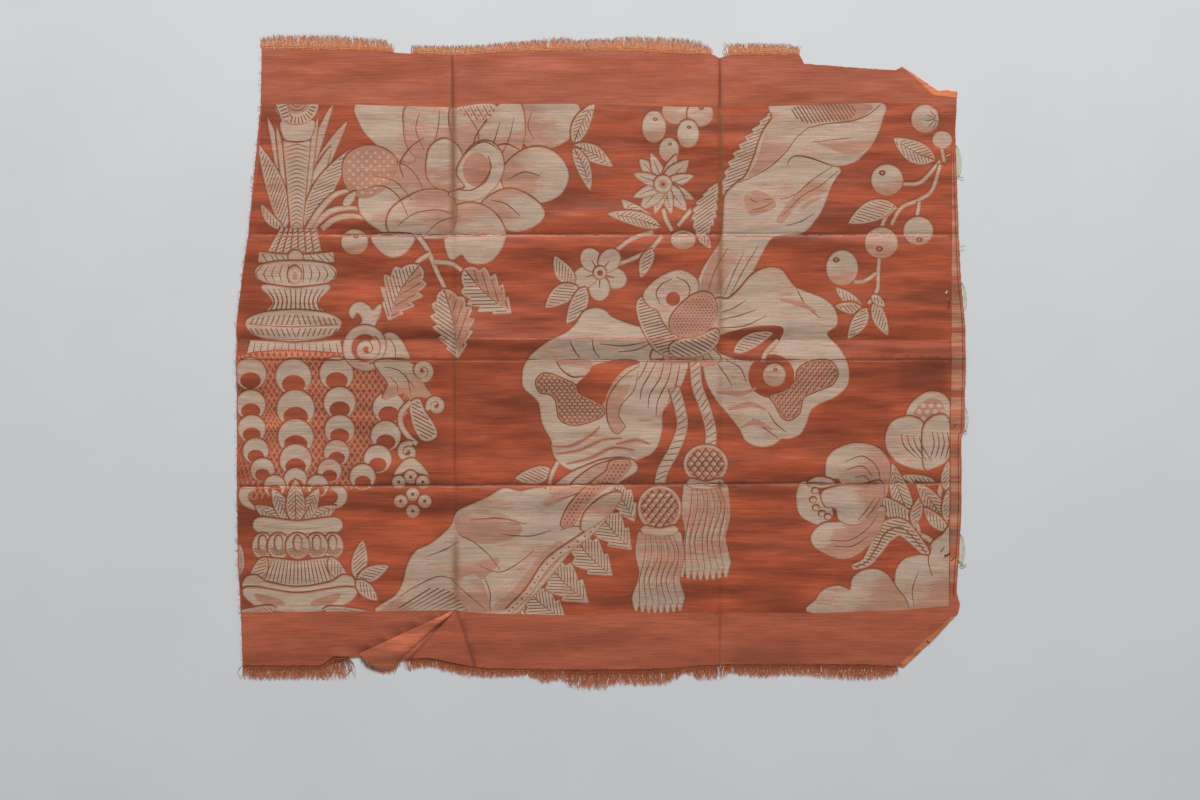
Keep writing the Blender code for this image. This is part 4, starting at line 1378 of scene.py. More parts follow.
def side_traces(material):
    """Remnants of sewing thread, pale slivers at the selvedge, and fuzz along the cut side."""
    draw = random.Random(STITCH_SEED)
    threads = Threads()
    for across, down, length, angle, thickness, colour in STITCHES:
        x, y = to_cloth((across, down))
        height = float(woven_side(np.array([x]), np.array([y]))[0]) + thickness / 2.0
        run = direction(angle)
        path = []
        for step in range(STITCH_STEPS + 1):
            share = step / STITCH_STEPS - 0.5
            place = np.array((x, y)) + run * share * length * DRAFT_SQUARE
            path.append((
                place[0] + draw.gauss(0.0, STITCH_WANDER), place[1] + draw.gauss(0.0, STITCH_WANDER),
                height + STITCH_WANDER * draw.random(),
            ))
        threads.add(path, thickness / 2.0, thickness / 3.0, colour, colour)
    for _ in range(FUZZ_COUNT):
        y = draw.uniform(CUT_SIDE[0][1], CUT_SIDE[-1][1])
        x = float(read_table(CUT_SIDE, y, 1, 0))
        length = draw.uniform(*FUZZ_LENGTH)
        height = root_lift(x, y)
        drift = draw.uniform(-1.0, 1.0) * length
        path = (
            (x + FUZZ_ROOT, y, height),
            (x - FUZZ_BEND[0] * length, y + FUZZ_BEND[1] * drift, height),
            (x - length, y + drift, FUZZ_TIP_HEIGHT),
        )
        threads.add(path, FUZZ_RADIUS, FUZZ_RADIUS, FUZZ_COLOUR, FUZZ_COLOUR)
    edge = SELVEDGE[::-1]
    for top, bottom, width in SLIVERS:
        high, low = to_cloth((0.0, top))[1], to_cloth((0.0, bottom))[1]
        for strand in range(int(width * DRAFT_SQUARE / SLIVER_PITCH)):
            path = []
            for step in range(SLIVER_STEPS + 1):
                share = step / SLIVER_STEPS
                y = blend(low, high, share)
                x = float(read_table(edge, y, 1, 0))
                out = strand * SLIVER_PITCH * math.sqrt(math.sin(math.pi * share))
                out += draw.uniform(-SLIVER_WANDER, SLIVER_WANDER)
                path.append((x + out, y, SLIVER_RADIUS + SLIVER_WANDER * draw.random()))
            light = draw.uniform(*SLIVER_BRIGHTNESS)
            colour = [light * value for value in SLIVER_COLOUR]
            threads.add(path, SLIVER_RADIUS, SLIVER_RADIUS, colour, colour)
    piece = threads.piece("side_traces", material)
    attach(piece, "root")
    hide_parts("cloth")
    return piece


class Shader:
    """A procedural material, built node by node."""

    def __init__(self, name):
        self.material = bpy.data.materials.new(name)
        self.material.use_nodes = True
        self.tree = self.material.node_tree
        self.surface = self.tree.nodes["Principled BSDF"]
        self.place = self.tree.nodes.new("ShaderNodeTexCoord").outputs["Object"]

    def link(self, value, socket):
        """Lead another node's output into a socket, or set the socket to a constant."""
        if isinstance(value, bpy.types.NodeSocket):
            self.tree.links.new(value, socket)
        else:
            socket.default_value = value

    def attribute(self, name, output):
        node = self.tree.nodes.new("ShaderNodeAttribute")
        node.attribute_name = name
        return node.outputs[output]

    def noise(self, scale, detail=2.0, roughness=0.5):
        """Noise whose scale is given along each axis, in waves per metre."""
        stretch = self.tree.nodes.new("ShaderNodeVectorMath")
        stretch.operation = "MULTIPLY"
        self.link(self.place, stretch.inputs[0])
        stretch.inputs[1].default_value = scale
        node = self.tree.nodes.new("ShaderNodeTexNoise")
        self.link(stretch.outputs[0], node.inputs["Vector"])
        node.inputs["Scale"].default_value = 1.0
        node.inputs["Detail"].default_value = detail
        node.inputs["Roughness"].default_value = roughness
        return node.outputs["Fac"]

    def math(self, operation, first, second=0.0):
        node = self.tree.nodes.new("ShaderNodeMath")
        node.operation = operation
        self.link(first, node.inputs[0])
        self.link(second, node.inputs[1])
        return node.outputs[0]

    def reach(self, value, low, high, start=0.0, end=1.0):
        """Value stretched from low and high to start and end, and kept between them."""
        node = self.tree.nodes.new("ShaderNodeMapRange")
        self.link(value, node.inputs["Value"])
        for socket, amount in (("From Min", low), ("From Max", high), ("To Min", start), ("To Max", end)):
            self.link(amount, node.inputs[socket])
        return node.outputs[0]

    def mix(self, amount, first, second):
        node = self.tree.nodes.new("ShaderNodeMix")
        node.data_type = "RGBA"
        self.link(amount, node.inputs["Factor"])
        for value, name in ((first, "A"), (second, "B")):
            socket = next(s for s in node.inputs if s.name == name and s.type == "RGBA")
            self.link(value, socket)
        return next(s for s in node.outputs if s.type == "RGBA")

    def multiplied(self, first, second):
        node = self.tree.nodes.new("ShaderNodeVectorMath")
        node.operation = "MULTIPLY"
        self.link(first, node.inputs[0])
        self.link(second, node.inputs[1])
        return node.outputs[0]

    def scaled(self, colour, amount):
        node = self.tree.nodes.new("ShaderNodeVectorMath")
        node.operation = "SCALE"
        self.link(colour, node.inputs[0])
        self.link(amount, node.inputs["Scale"])
        return node.outputs[0]

    def bump(self, height, distance, normal=None):
        node = self.tree.nodes.new("ShaderNodeBump")
        node.inputs["Distance"].default_value = distance
        self.link(height, node.inputs["Height"])
        if normal is not None:
            self.link(normal, node.inputs["Normal"])
        return node.outputs[0]

    def finish(self, colour, roughness, normal, sheen=0.0, specular=0.35):
        self.link(colour, self.surface.inputs["Base Color"])
        self.link(roughness, self.surface.inputs["Roughness"])
        self.link(normal, self.surface.inputs["Normal"])
        self.surface.inputs["Sheen Weight"].default_value = sheen
        self.surface.inputs["Sheen Roughness"].default_value = SHEEN_ROUGHNESS
        self.surface.inputs["Specular IOR Level"].default_value = specular
        return self.material


def silk_material():
    """Figured silk: draft tones streaked along the wefts, worn and stained, with painted sheen and shade.
    """
    shader = Shader("figured_silk")
    tone = shader.attribute("tone", "Color")
    weave = shader.attribute("tone", "Alpha")
    relief = shader.math("MAXIMUM", weave, 0.0)
    dull = shader.math("ABSOLUTE", weave)
    streak = shader.noise(STREAK_SCALE, 3.0, 0.6)
    grain = shader.noise(GRAIN_SCALE)
    strand = shader.noise(STRAND_SCALE)
    band = shader.noise(BAND_SCALE, 3.0, 0.6)
    blotch = shader.noise(BLOTCH_SCALE, 3.0)
    shade = shader.math("MULTIPLY", shader.attribute("shade", "Fac"), SHADE_GAIN)
    weft = shader.math("ADD", shade, shader.reach(blotch, *WORN_SPAN, *WORN_WEFT))
    weft = shader.math("ADD", weft, shader.reach(strand, *NOISE_SPAN, *STRAND_WEFT))
    pink = shader.math("MULTIPLY", shader.reach(weft, *PINK_SPAN), relief)
    colour = shader.mix(shader.math("MULTIPLY", pink, PINK_STRENGTH), tone, PINK_WEFT)
    light = shader.reach(streak, *NOISE_SPAN, *STREAK_LIGHT)
    for noise, limits in ((strand, STRAND_LIGHT), (grain, GRAIN_LIGHT), (blotch, BLOTCH_LIGHT)):
        light = shader.math("MULTIPLY", light, shader.reach(noise, *NOISE_SPAN, *limits))
    # Painted sheen: broad bands of lighter and darker satin, dulled on the figure.
    lustre = shader.reach(band, *BAND_SPAN, *BAND_LIGHT)
    lustre = shader.mix(shader.math("MULTIPLY", dull, FIGURE_DULLNESS), lustre, (1.0, 1.0, 1.0, 1.0))
    colour = shader.scaled(shader.multiplied(colour, lustre), light)
    stain = shader.reach(grain, *STAIN_SPAN, *STAIN_SHARES)
    stain = shader.math("MULTIPLY", shader.attribute("stain", "Fac"), stain)
    colour = shader.mix(stain, colour, STAIN_COLOUR)
    # Painted shade of the creases and folds, and painted sheen below zero, weaker on the figure.
    shadow = shader.reach(streak, *SHADOW_SPAN, *SHADOW_SHARES)
    shadow = shader.math("MULTIPLY", shader.attribute("shadow", "Fac"), shadow)
    on_figure = shader.reach(relief, 0.0, 1.0, 1.0, FIGURE_SHADOW)
    shadow = shader.math("MULTIPLY", shadow, on_figure)
    colour = shader.scaled(colour, shader.reach(shadow, -1.0, 1.0, *SHADOW_LIGHT))
    thread = shader.math("MULTIPLY", streak, THREAD_SHARES[0])
    thread = shader.math("ADD", thread, shader.math("MULTIPLY", grain, THREAD_SHARES[1]))
    normal = shader.bump(shader.noise(WAVE_SCALE), WAVE_RELIEF)
    normal = shader.bump(thread, THREAD_RELIEF, normal)
    normal = shader.bump(relief, PATTERN_RELIEF, normal)
    roughness = shader.reach(relief, 0.0, 1.0, *SILK_ROUGHNESS)
    return shader.finish(colour, roughness, normal, SILK_SHEEN, SILK_SPECULAR)


def thread_material():
    """Loose warp ends, in the colours that the threads carry."""
    shader = Shader("frayed_warp")
    colour = shader.attribute("thread", "Color")
    grain = shader.noise(THREAD_GRAIN_SCALE)
    colour = shader.scaled(colour, shader.reach(grain, *NOISE_SPAN, *WARP_LIGHT))
    normal = shader.bump(grain, THREAD_RELIEF)
    return shader.finish(colour, WARP_ROUGHNESS, normal, WARP_SHEEN, WARP_SPECULAR)


def floor_material():
    shader = Shader("studio_floor")
    cloudy = shader.noise(FLOOR_CLOUD_SCALE, 4.0)
    colour = shader.scaled(FLOOR_COLOUR, shader.reach(cloudy, *NOISE_SPAN, *FLOOR_LIGHT))
    normal = shader.bump(shader.noise(FLOOR_GRAIN_SCALE), FLOOR_RELIEF)
    return shader.finish(colour, FLOOR_ROUGHNESS, normal)


def add_camera():
    camera = bpy.data.cameras.new("camera")
    camera.lens = CAMERA_LENS
    camera.sensor_width = CAMERA_SENSOR
    made = bpy.data.objects.new("camera", camera)
    width = IMAGE_WIDTH * DRAFT_SQUARE * MM
    x, y = to_cloth(IMAGE_CENTRE) * MM
    made.location = (x, y, width * CAMERA_LENS / CAMERA_SENSOR)
    bpy.context.scene.collection.objects.link(made)
    bpy.context.scene.camera = made


def add_light(name, place, target, size, power):
    light = bpy.data.lights.new(name, "AREA")
    light.shape = "DISK"
    light.size = size
    light.energy = power
    made = bpy.data.objects.new(name, light)
    made.location = place
    made.rotation_euler = (Vector(target) - Vector(place)).to_track_quat("-Z", "Y").to_euler()
    bpy.context.scene.collection.objects.link(made)


def add_floor():
    mesh = bpy.data.meshes.new("studio_floor")
    low, high = -FLOOR_HALF, FLOOR_HALF
    corners = ((low, low, 0.0), (high, low, 0.0), (high, high, 0.0), (low, high, 0.0))
    mesh.from_pydata(corners, [], [(0, 1, 2, 3)])
    mesh.materials.append(floor_material())
    made = bpy.data.objects.new("studio_floor", mesh)
    bpy.context.scene.collection.objects.link(made)


def add_world():
    world = bpy.data.worlds.new("studio")
    world.use_nodes = True
    background = world.node_tree.nodes["Background"]
    background.inputs["Color"].default_value = (1.0, 1.0, 1.0, 1.0)
    background.inputs["Strength"].default_value = WORLD_STRENGTH
    bpy.context.scene.world = world


def draw_plumes(draft):
    """The fan of blades and leaves standing in the urn."""
    for tip, base, width, bend in (
        ((268, 118), (289, 222), 9, -3), ((347, 122), (306, 214), 13, 5),
        ((331, 147), (305, 226), 13, 3), ((333, 104), (304, 190), 8, 2),
        ((277, 128), (291, 224), 7, -1), ((318, 118), (302, 224), 7, 1),
    ):
        draft.leaf(tip, base, width, bend, "plain")
    draft.leaf((259, 146), (286, 229), 17, -3)
    draft.leaf((351, 150), (305, 229), 19, 4)
    draft.leaf((262, 205), (283, 229), 8, 3)
    draft.shape(((282, 122), (297, 125), (314, 122), (310, 138), (297, 142), (285, 138)))
    draft.shape(((284, 141), (297, 144), (310, 141), (302, 228), (292, 228)), smoothed=False)
    for y in np.arange(146.0, 228.0, 4.1):
        half = blend(12.0, 4.2, (y - 141.0) / 87.0)
        draft.line(((297 - half, y + 2.0), (297, y - 1.4), (297 + half, y + 2.0)), 1.2)
    draft.disc((297, 104), 21, 20)
    draft.disc((297, 102), 13, 12, "pink", halo=False)
    draft.rays((297.0, 104.0), (13.0, 19.5), range(12, 180, 12), (0.9, 1.2, 1.6))
    for radius in (5.0, 9.0):
        draft.line(spiral((297, 102), radius, radius, 0.0, 0.5), 1.1)
    side = draft.shape(((277, 103), (286, 103), (291, 119), (283, 121)), smoothed=False)
    draft.hatch(side, -20.0, 3.6, 1.2)
    for points, width in (
        (((312, 229), (330, 212), (349, 208), (364, 210)), 4),
        (((322, 229), (336, 219), (352, 216), (367, 219)), 4),
        (((308, 230), (322, 208), (337, 194), (352, 190)), 4),
    ):
        draft.band(points, (width, width, 1.5))


def draw_urn_neck(draft):
    """From the stalks in the collar down to the shoulder of the urn."""
    for low, high in ((270, 284), (279, 289), (287, 293), (295, 297), (303, 302), (311, 308), (319, 314)):
        draft.band(((high, 229), (low, 256)), (4.4, 5.0, 5.4), smoothed=False)
        for y in range(232, 256, 4):
            x = blend(high, low, (y - 229.0) / 27.0)
            draft.stroke(((x - 2.4, y + 1.4), (x + 2.4, y - 1.4)), (0.9, 0.9, 0.9))
    draft.rope(((334, 257), (316, 259), (296, 260), (276, 259), (259, 257)), 8.0)
    draft.disc((296, 257), 6.5, 5.5)
    ring = ((258, 268), (275, 263), (296, 262), (318, 263), (334, 268), (334, 278), (318, 284), (296, 286),
            (275, 284), (258, 278))
    draft.shape(ring)
    for step in range(-5, 6):
        x = 296 + 7.2 * step
        draft.line(((x - 0.5 * step, 264 + abs(step) * 0.4), (x + 0.8 * step, 274),
                    (x - 0.3 * step, 284 - abs(step) * 0.5)), 1.3)
    draft.disc((295, 275), 6, 8)
    draft.disc((295, 276), 2.6, 4.4, "pink", halo=False)
    draft.shape(((263, 286), (296, 289), (329, 286), (320, 298), (318, 306), (326, 317), (296, 321),
                 (264, 317), (273, 306), (272, 298)))
    for step in range(-5, 6):
        waist = 296 + 4.3 * step
        draft.line(((296 + 5.6 * step, 289), (waist, 302), (296 + 5.8 * step, 317)), 1.9)
    draft.shape(((247, 322), (262, 314), (294, 311), (326, 314), (341, 322), (334, 333), (318, 338),
                 (294, 340), (268, 338), (253, 333)))
    draft.line(((249, 324), (270, 326), (294, 327), (318, 326), (339, 324)), 1.3)
    for step in range(-8, 9):
        x = 294 + 5.2 * step
        lean = 1.8 if step > 0 else -1.8
        rise = 0.05 * step * step
        draft.stroke(((x - lean, 315 + rise), (x + lean, 325)), (1.1, 1.1, 1.1))
        draft.stroke(((x + lean, 328.5), (x - lean, 337 - rise)), (1.1, 1.1, 1.1))
    draft.shape(((251, 341), (294, 344), (340, 341), (344, 357), (294, 358), (247, 357)), smoothed=False)
    for x in range(254, 340, 7):
        draft.line(((294 + (x - 294) * 0.96, 343), (x, 351), (294 + (x - 294) * 1.05, 357)), 1.2)


def draw_volute(draft):
    """Scrolls and acanthus at the urn's right shoulder, with the berry drop below."""
    draft.shape(((384, 337), (393, 334), (401, 341), (407, 352), (408, 359), (385, 359)),
                shade=((394, 345), (404, 360), 0.5))
    draft.line(((389, 338), (395, 347), (396, 358)), 1.2)
    draft.shape(((357, 330), (363, 322), (362, 316), (357, 312), (353, 318), (350, 312), (354, 305),
                 (362, 303), (369, 307), (373, 311), (381, 305), (379, 316), (374, 326), (371, 331)))
    draft.band(spiral((366, 347), 20, 15, 60, 1.05), (6.5, 7.0, 7.0))
    draft.disc((366, 348), 12.5, 12.0, "ground", halo=False)
    draft.band(spiral((367, 349), 10.5, 3, -60, 1.3), (6.0, 5.0, 2.0))
    draft.shape(((377, 362), (405, 361), (421, 372), (424, 386), (432, 398), (420, 396), (412, 400),
                 (405, 392), (394, 395), (384, 398), (389, 384), (381, 372)),
                 shade=((390, 370), (400, 398), 0.7))
    draft.line(((384, 367), (400, 371), (415, 388)), 1.2)
    draft.line(((391, 378), (397, 384), (398, 393)), 1.2)
    draft.line(((405, 372), (409, 383), (411, 396)), 1.2)
    draft.band(spiral((423, 371), 9, 2.5, 100, -1.5), (4.0, 4.5, 2.0))
    draft.band(spiral((436, 406), 8, 2.5, 150, 1.4), (4.0, 4.0, 2.0))
    bell = draft.shape(((411, 404), (419, 400), (424, 411), (433, 424), (436, 436), (424, 440), (416, 430),
                        (412, 417)))
    draft.hatch(outset(bell, -1.0), 28.0, 3.4, 1.2)
    draft.band(((411, 402), (402, 412), (401, 424), (408, 436), (417, 444)), (3, 3.4, 3))
    draft.band(spiral((408, 452), 9, 2.5, -60, -1.4), (3.6, 4.0, 2.0))
    draft.shape(((411, 459), (419, 463), (428, 475), (416, 471), (411, 474), (405, 471), (395, 475),
                 (402, 464)))
    for x, y in ((411, 477), (399, 482), (423, 482), (413, 494), (401, 501), (425, 501), (413, 511)):
        draft.berry((x, y), 5.8, 5.6, False)
        draft.disc((x, y), 1.8, 1.8, "line", halo=False)


def draw_urn_body(draft):
    """Meshed body of the urn, under rows of crescent scales."""
    body = (
        (230, 360), (404, 360), (412, 378), (410, 404), (402, 430), (390, 456), (372, 478), (350, 491),
        (296, 493), (230, 491),
    )
    loop = curve(body, True)
    draft.lattice(loop, 57.0, 5.0, 1.5, mesh="mesh", cells="ground")
    for x, y, radius in CRESCENTS:
        draft.crescent((x, y), radius, radius * 0.62)


def draw_foot(draft):
    """Foot of the urn: feathers, plate, gadroons, drum and bowl."""
    for points in (
        ((243, 488), (240, 496), (245, 505), (257, 509), (249, 501), (249, 493), (256, 488)),
        ((343, 488), (347, 496), (342, 505), (330, 509), (338, 501), (338, 493), (331, 488)),
    ):
        draft.shape(points)
    for tip, base, width in (
        ((256, 506), (284, 522), 13), ((336, 506), (308, 522), 13), ((273, 489), (291, 522), 14),
        ((319, 489), (301, 522), 14), ((296, 480), (296, 523), 17),
    ):
        draft.leaf(tip, base, width, 0.0, "feather")
    draft.shape(((254, 524), (262, 518), (297, 522), (334, 518), (342, 524), (338, 531), (320, 535),
                 (297, 537), (274, 535), (258, 531)))
    draft.line(((262, 526), (297, 529), (334, 526)), 1.0, "pink")
    draft.line(((266, 532), (297, 534.5), (330, 532)), 1.0, "line")
    for x, width in ((263, 16), (333, 16), (279, 17), (317, 17), (298, 19)):
        draft.disc((x, 546), width / 2.0 + 1.6, 12)
        draft.rays((x, 546), (4.6, width / 2.0 + 1.4), range(20, 170, 14), (0.8, 0.9, 1.0))
        draft.disc((x, 543), 3.0, 6.5)
    draft.shape(((266, 558), (298, 562), (330, 558), (339, 581), (298, 586), (257, 581)), smoothed=False)
    for step in range(-9, 10):
        draft.line(((298 + 3.2 * step, 560), (298 + 4.2 * step, 584 - 0.05 * step * step)), 1.5)
    draft.leaf((249, 582), (266, 558), 12, 2)
    draft.leaf((349, 582), (330, 558), 12, -2)
    draft.shape(((246, 579), (256, 576), (268, 583), (298, 588), (330, 583), (343, 576), (353, 579),
                 (350, 590), (298, 595), (248, 590)))
    draft.shape(((244, 590), (256, 588), (298, 594), (342, 588), (356, 590), (352, 599), (332, 608),
                 (298, 612), (264, 608), (248, 599)))
    for side in (-1.0, 1.0):
        across = (16, 42, 36, 14)
        draft.shape([(298 + side * x, y) for x, y in zip(across, (600, 593, 603, 606))], "pink", halo=False)
    draft.leaf((238, 612), (276, 608), 9, 2)
    draft.leaf((369, 612), (324, 609), 11, -3)
    for tip, base, width in (((363, 541), (357, 578), 14), ((388, 566), (358, 580), 13),
                             ((377, 600), (357, 581), 12)):
        draft.leaf(tip, base, width)
    draft.leaf((240, 545), (232, 580), 16)


def draw_peony(draft):
    """The large peony at the top, from its outer petals in to its heart."""
    draft.shape(((388, 160), (400, 140), (460, 130), (504, 140), (514, 170), (500, 206), (460, 222),
                 (420, 214), (392, 200)), shade=((512, 150), (400, 190), 0.9))
    for points, shade in (
        (((358, 104), (362, 127), (378, 145), (398, 158), (414, 160), (412, 130), (404, 104)),
         ((385, 118), (410, 160), 0.55)),
        (((524, 104), (520, 128), (528, 146), (552, 147), (570, 137), (578, 120), (574, 104)),
         ((560, 110), (522, 138), 0.75)),
        (((411, 104), (405, 128), (412, 152), (430, 158), (450, 148), (456, 104)),
         ((430, 106), (424, 150), 0.7)),
        (((455, 104), (452, 132), (466, 156), (482, 146), (496, 122), (492, 104)),
         ((470, 104), (474, 150), 0.8)),
        (((492, 116), (476, 142), (480, 172), (498, 182), (514, 164), (524, 134), (520, 104), (502, 104)),
         ((510, 108), (490, 170), 0.85)),
        (((505, 168), (522, 152), (542, 148), (560, 158), (568, 176), (560, 194), (541, 202), (520, 198),
          (505, 188)), ((548, 170), (506, 182), 0.8)),
        (((492, 196), (512, 190), (534, 200), (544, 214), (534, 226), (514, 231), (496, 222), (482, 208)),
         ((528, 212), (488, 198), 0.8)),
        (((446, 214), (470, 204), (492, 212), (505, 232), (500, 250), (488, 262), (470, 262), (462, 254),
          (451, 259), (445, 240)), ((474, 222), (470, 210), 0.6)),
        (((376, 168), (362, 186), (360, 210), (374, 226), (392, 234), (410, 228), (424, 206), (416, 178),
          (398, 164)), ((372, 196), (412, 196), 0.75)),
        (((394, 208), (388, 226), (398, 236), (424, 238), (448, 236), (456, 214), (448, 194), (422, 192)),
         ((408, 228), (440, 200), 0.9)),
        (((374, 236), (380, 250), (394, 257), (408, 250), (412, 236)), None),
    ):
        draft.shape(points, shade=shade)
    draft.hatch(curve(((455, 106), (470, 106), (492, 106), (486, 120), (468, 118)), True), 62.0, 3.0, 1.0)
    draft.dots(curve(((456, 104), (520, 104), (508, 120), (468, 121)), True), (7.4, 4.6), 2.0)
    dotted = draft.shape(((344, 166), (350, 154), (366, 147), (384, 150), (396, 162), (390, 180),
                          (376, 194), (358, 196), (346, 184)), "pink")
    draft.dots(dotted, (8.6, 4.4), 1.6)
    for points, width in (
        (((362, 190), (382, 186), (398, 196), (408, 216)), 1.6),
        (((374, 176), (396, 182), (412, 200)), 1.3),
        (((398, 226), (414, 214), (436, 210), (452, 214)), 1.6),
        (((424, 236), (440, 222), (462, 216)), 1.3),
        (((508, 180), (524, 172), (540, 176)), 1.5), (((490, 200), (506, 204), (520, 216)), 1.5),
        (((532, 112), (528, 126), (534, 140)), 1.3), (((466, 112), (478, 132), (478, 148)), 1.3),
        (((500, 122), (494, 142), (484, 160)), 1.5), (((514, 118), (508, 142), (494, 168)), 1.3),
        (((420, 112), (416, 130), (424, 150)), 1.3), (((440, 110), (438, 130), (432, 150)), 1.3),
    ):
        draft.line(points, width)
    draft.lines(2.2, (((424, 138), (410, 148), (400, 164), (404, 178)),
                      ((490, 148), (506, 144), (520, 150))))
    draft.shape(((430, 150), (444, 140), (458, 148), (463, 166), (455, 184), (440, 188), (428, 176)),
                shade=((440, 150), (450, 184), 0.5))
    draft.shape(((463, 160), (474, 146), (488, 142), (500, 152), (503, 170), (494, 188), (478, 199),
                 (462, 200), (450, 194), (466, 188), (458, 174)))
    draft.disc((477, 170), 14, 17, "pink", ((470, 160), (488, 182), 0.9), False)
    draft.line(((488, 156), (491, 168), (484, 182), (472, 190), (458, 190)), 2.2)
    draft.line(((462, 158), (474, 146), (486, 142), (499, 150)), 1.8)
    for tip, base, width in (((594, 104), (574, 143), 15), ((612, 166), (574, 146), 15),
                             ((590, 190), (574, 148), 12)):
        draft.leaf(tip, base, width, 2.0, "feather")
    draft.leaf((356, 192), (344, 206), 7, 0.0, "plain")


def draw_peony_spray(draft):
    """Leaves and a cherry hanging below the peony."""
    draft.berry((355, 242), 12.5, 11.5)
    for points in (((418, 236), (428, 250), (437, 272), (447, 292)), ((430, 254), (420, 260), (412, 268)),
                   ((434, 262), (452, 264), (464, 272))):
        draft.band(points, (2.8, 2.8, 2.0))
    draft.leaf((389, 320), (419, 266), 38, -4, "split", 5)
    draft.leaf((458, 358), (444, 290), 38, 3, "split", 6)
    draft.leaf((511, 313), (465, 270), 36, -3, "split", 5)


def draw_upper_drapery(draft):
    """Drapery hanging from the top border into the knot, with its fringed leaf."""
    draft.leaf((777, 108), (724, 196), 31, -4, "hatched", 10)
    draft.leaf((717, 184), (700, 238), 21, 3, "hatched", 7)
    draft.shape(
        ((773, 104), (830, 103), (881, 104), (882, 118), (876, 136), (866, 151), (855, 161), (843, 165),
         (836, 166), (840, 171), (832, 182), (827, 195), (822, 208), (815, 219), (802, 232), (774, 236),
         (762, 252), (752, 272), (741, 292), (727, 308), (712, 312), (700, 304), (697, 288), (703, 270),
         (713, 254), (722, 238), (724, 214), (726, 196), (736, 185), (746, 177), (754, 160), (759, 144),
         (765, 130), (773, 118))
    )
    for points, shade in (
        (((790, 106), (866, 104), (868, 113), (850, 121), (812, 126), (793, 120)),
         ((790, 106), (792, 100), 0.9)),
        (((768, 128), (782, 118), (806, 128), (788, 148), (772, 164), (748, 177), (757, 160), (762, 142)),
         ((772, 122), (758, 150), 0.95)),
        (((814, 140), (846, 134), (876, 130), (866, 150), (846, 154), (828, 148)),
         ((846, 136), (846, 150), 0.9)),
        (((830, 168), (838, 172), (826, 192), (812, 196), (796, 206), (784, 222), (776, 220), (792, 198),
          (812, 180)), ((826, 170), (808, 190), 0.85)),
        (((822, 198), (808, 206), (794, 220), (784, 226), (796, 212), (810, 200)),
         ((800, 214), (812, 204), 0.9)),
        (((716, 250), (730, 240), (742, 246), (732, 268), (716, 296), (702, 300), (702, 278)),
         ((732, 246), (712, 280), 0.85)),
    ):
        draft.shape(points, "cream", shade, False)
    fold = curve(((795, 106), (848, 104), (852, 118), (812, 124), (796, 118)), True)
    draft.hatch(fold, 58.0, 3.3, 1.2)
    draft.line(((880, 105), (868, 115), (852, 121), (826, 124), (808, 128)), 1.8)
    draft.line(((808, 128), (796, 138), (786, 152), (770, 167), (750, 178), (738, 183)), 1.5)
    draft.line(((787, 165), (791, 158), (801, 156), (816, 160), (829, 165), (838, 167)), 2.0)
    draft.lines(1.3, (
        ((832, 167), (812, 180), (796, 194), (780, 200)), ((838, 171), (820, 186), (802, 196), (790, 208),
                                                           (782, 216)),
        ((814, 214), (800, 222), (786, 226)), ((758, 246), (748, 262), (738, 280), (730, 296)),
        ((728, 248), (716, 268), (708, 290)), ((812, 142), (832, 140), (852, 138)),
        ((744, 252), (734, 272), (724, 296)),
    ))
    patch = ((744, 196), (756, 190), (770, 196), (776, 206), (766, 212), (750, 215))
    draft.shape(patch, "cream", ((744, 184), (762, 204), 0.95), False)
    draft.lines(1.6, (((752, 210), (762, 208), (772, 203)), ((750, 199), (757, 203)),
                      ((764, 200), (772, 199))))


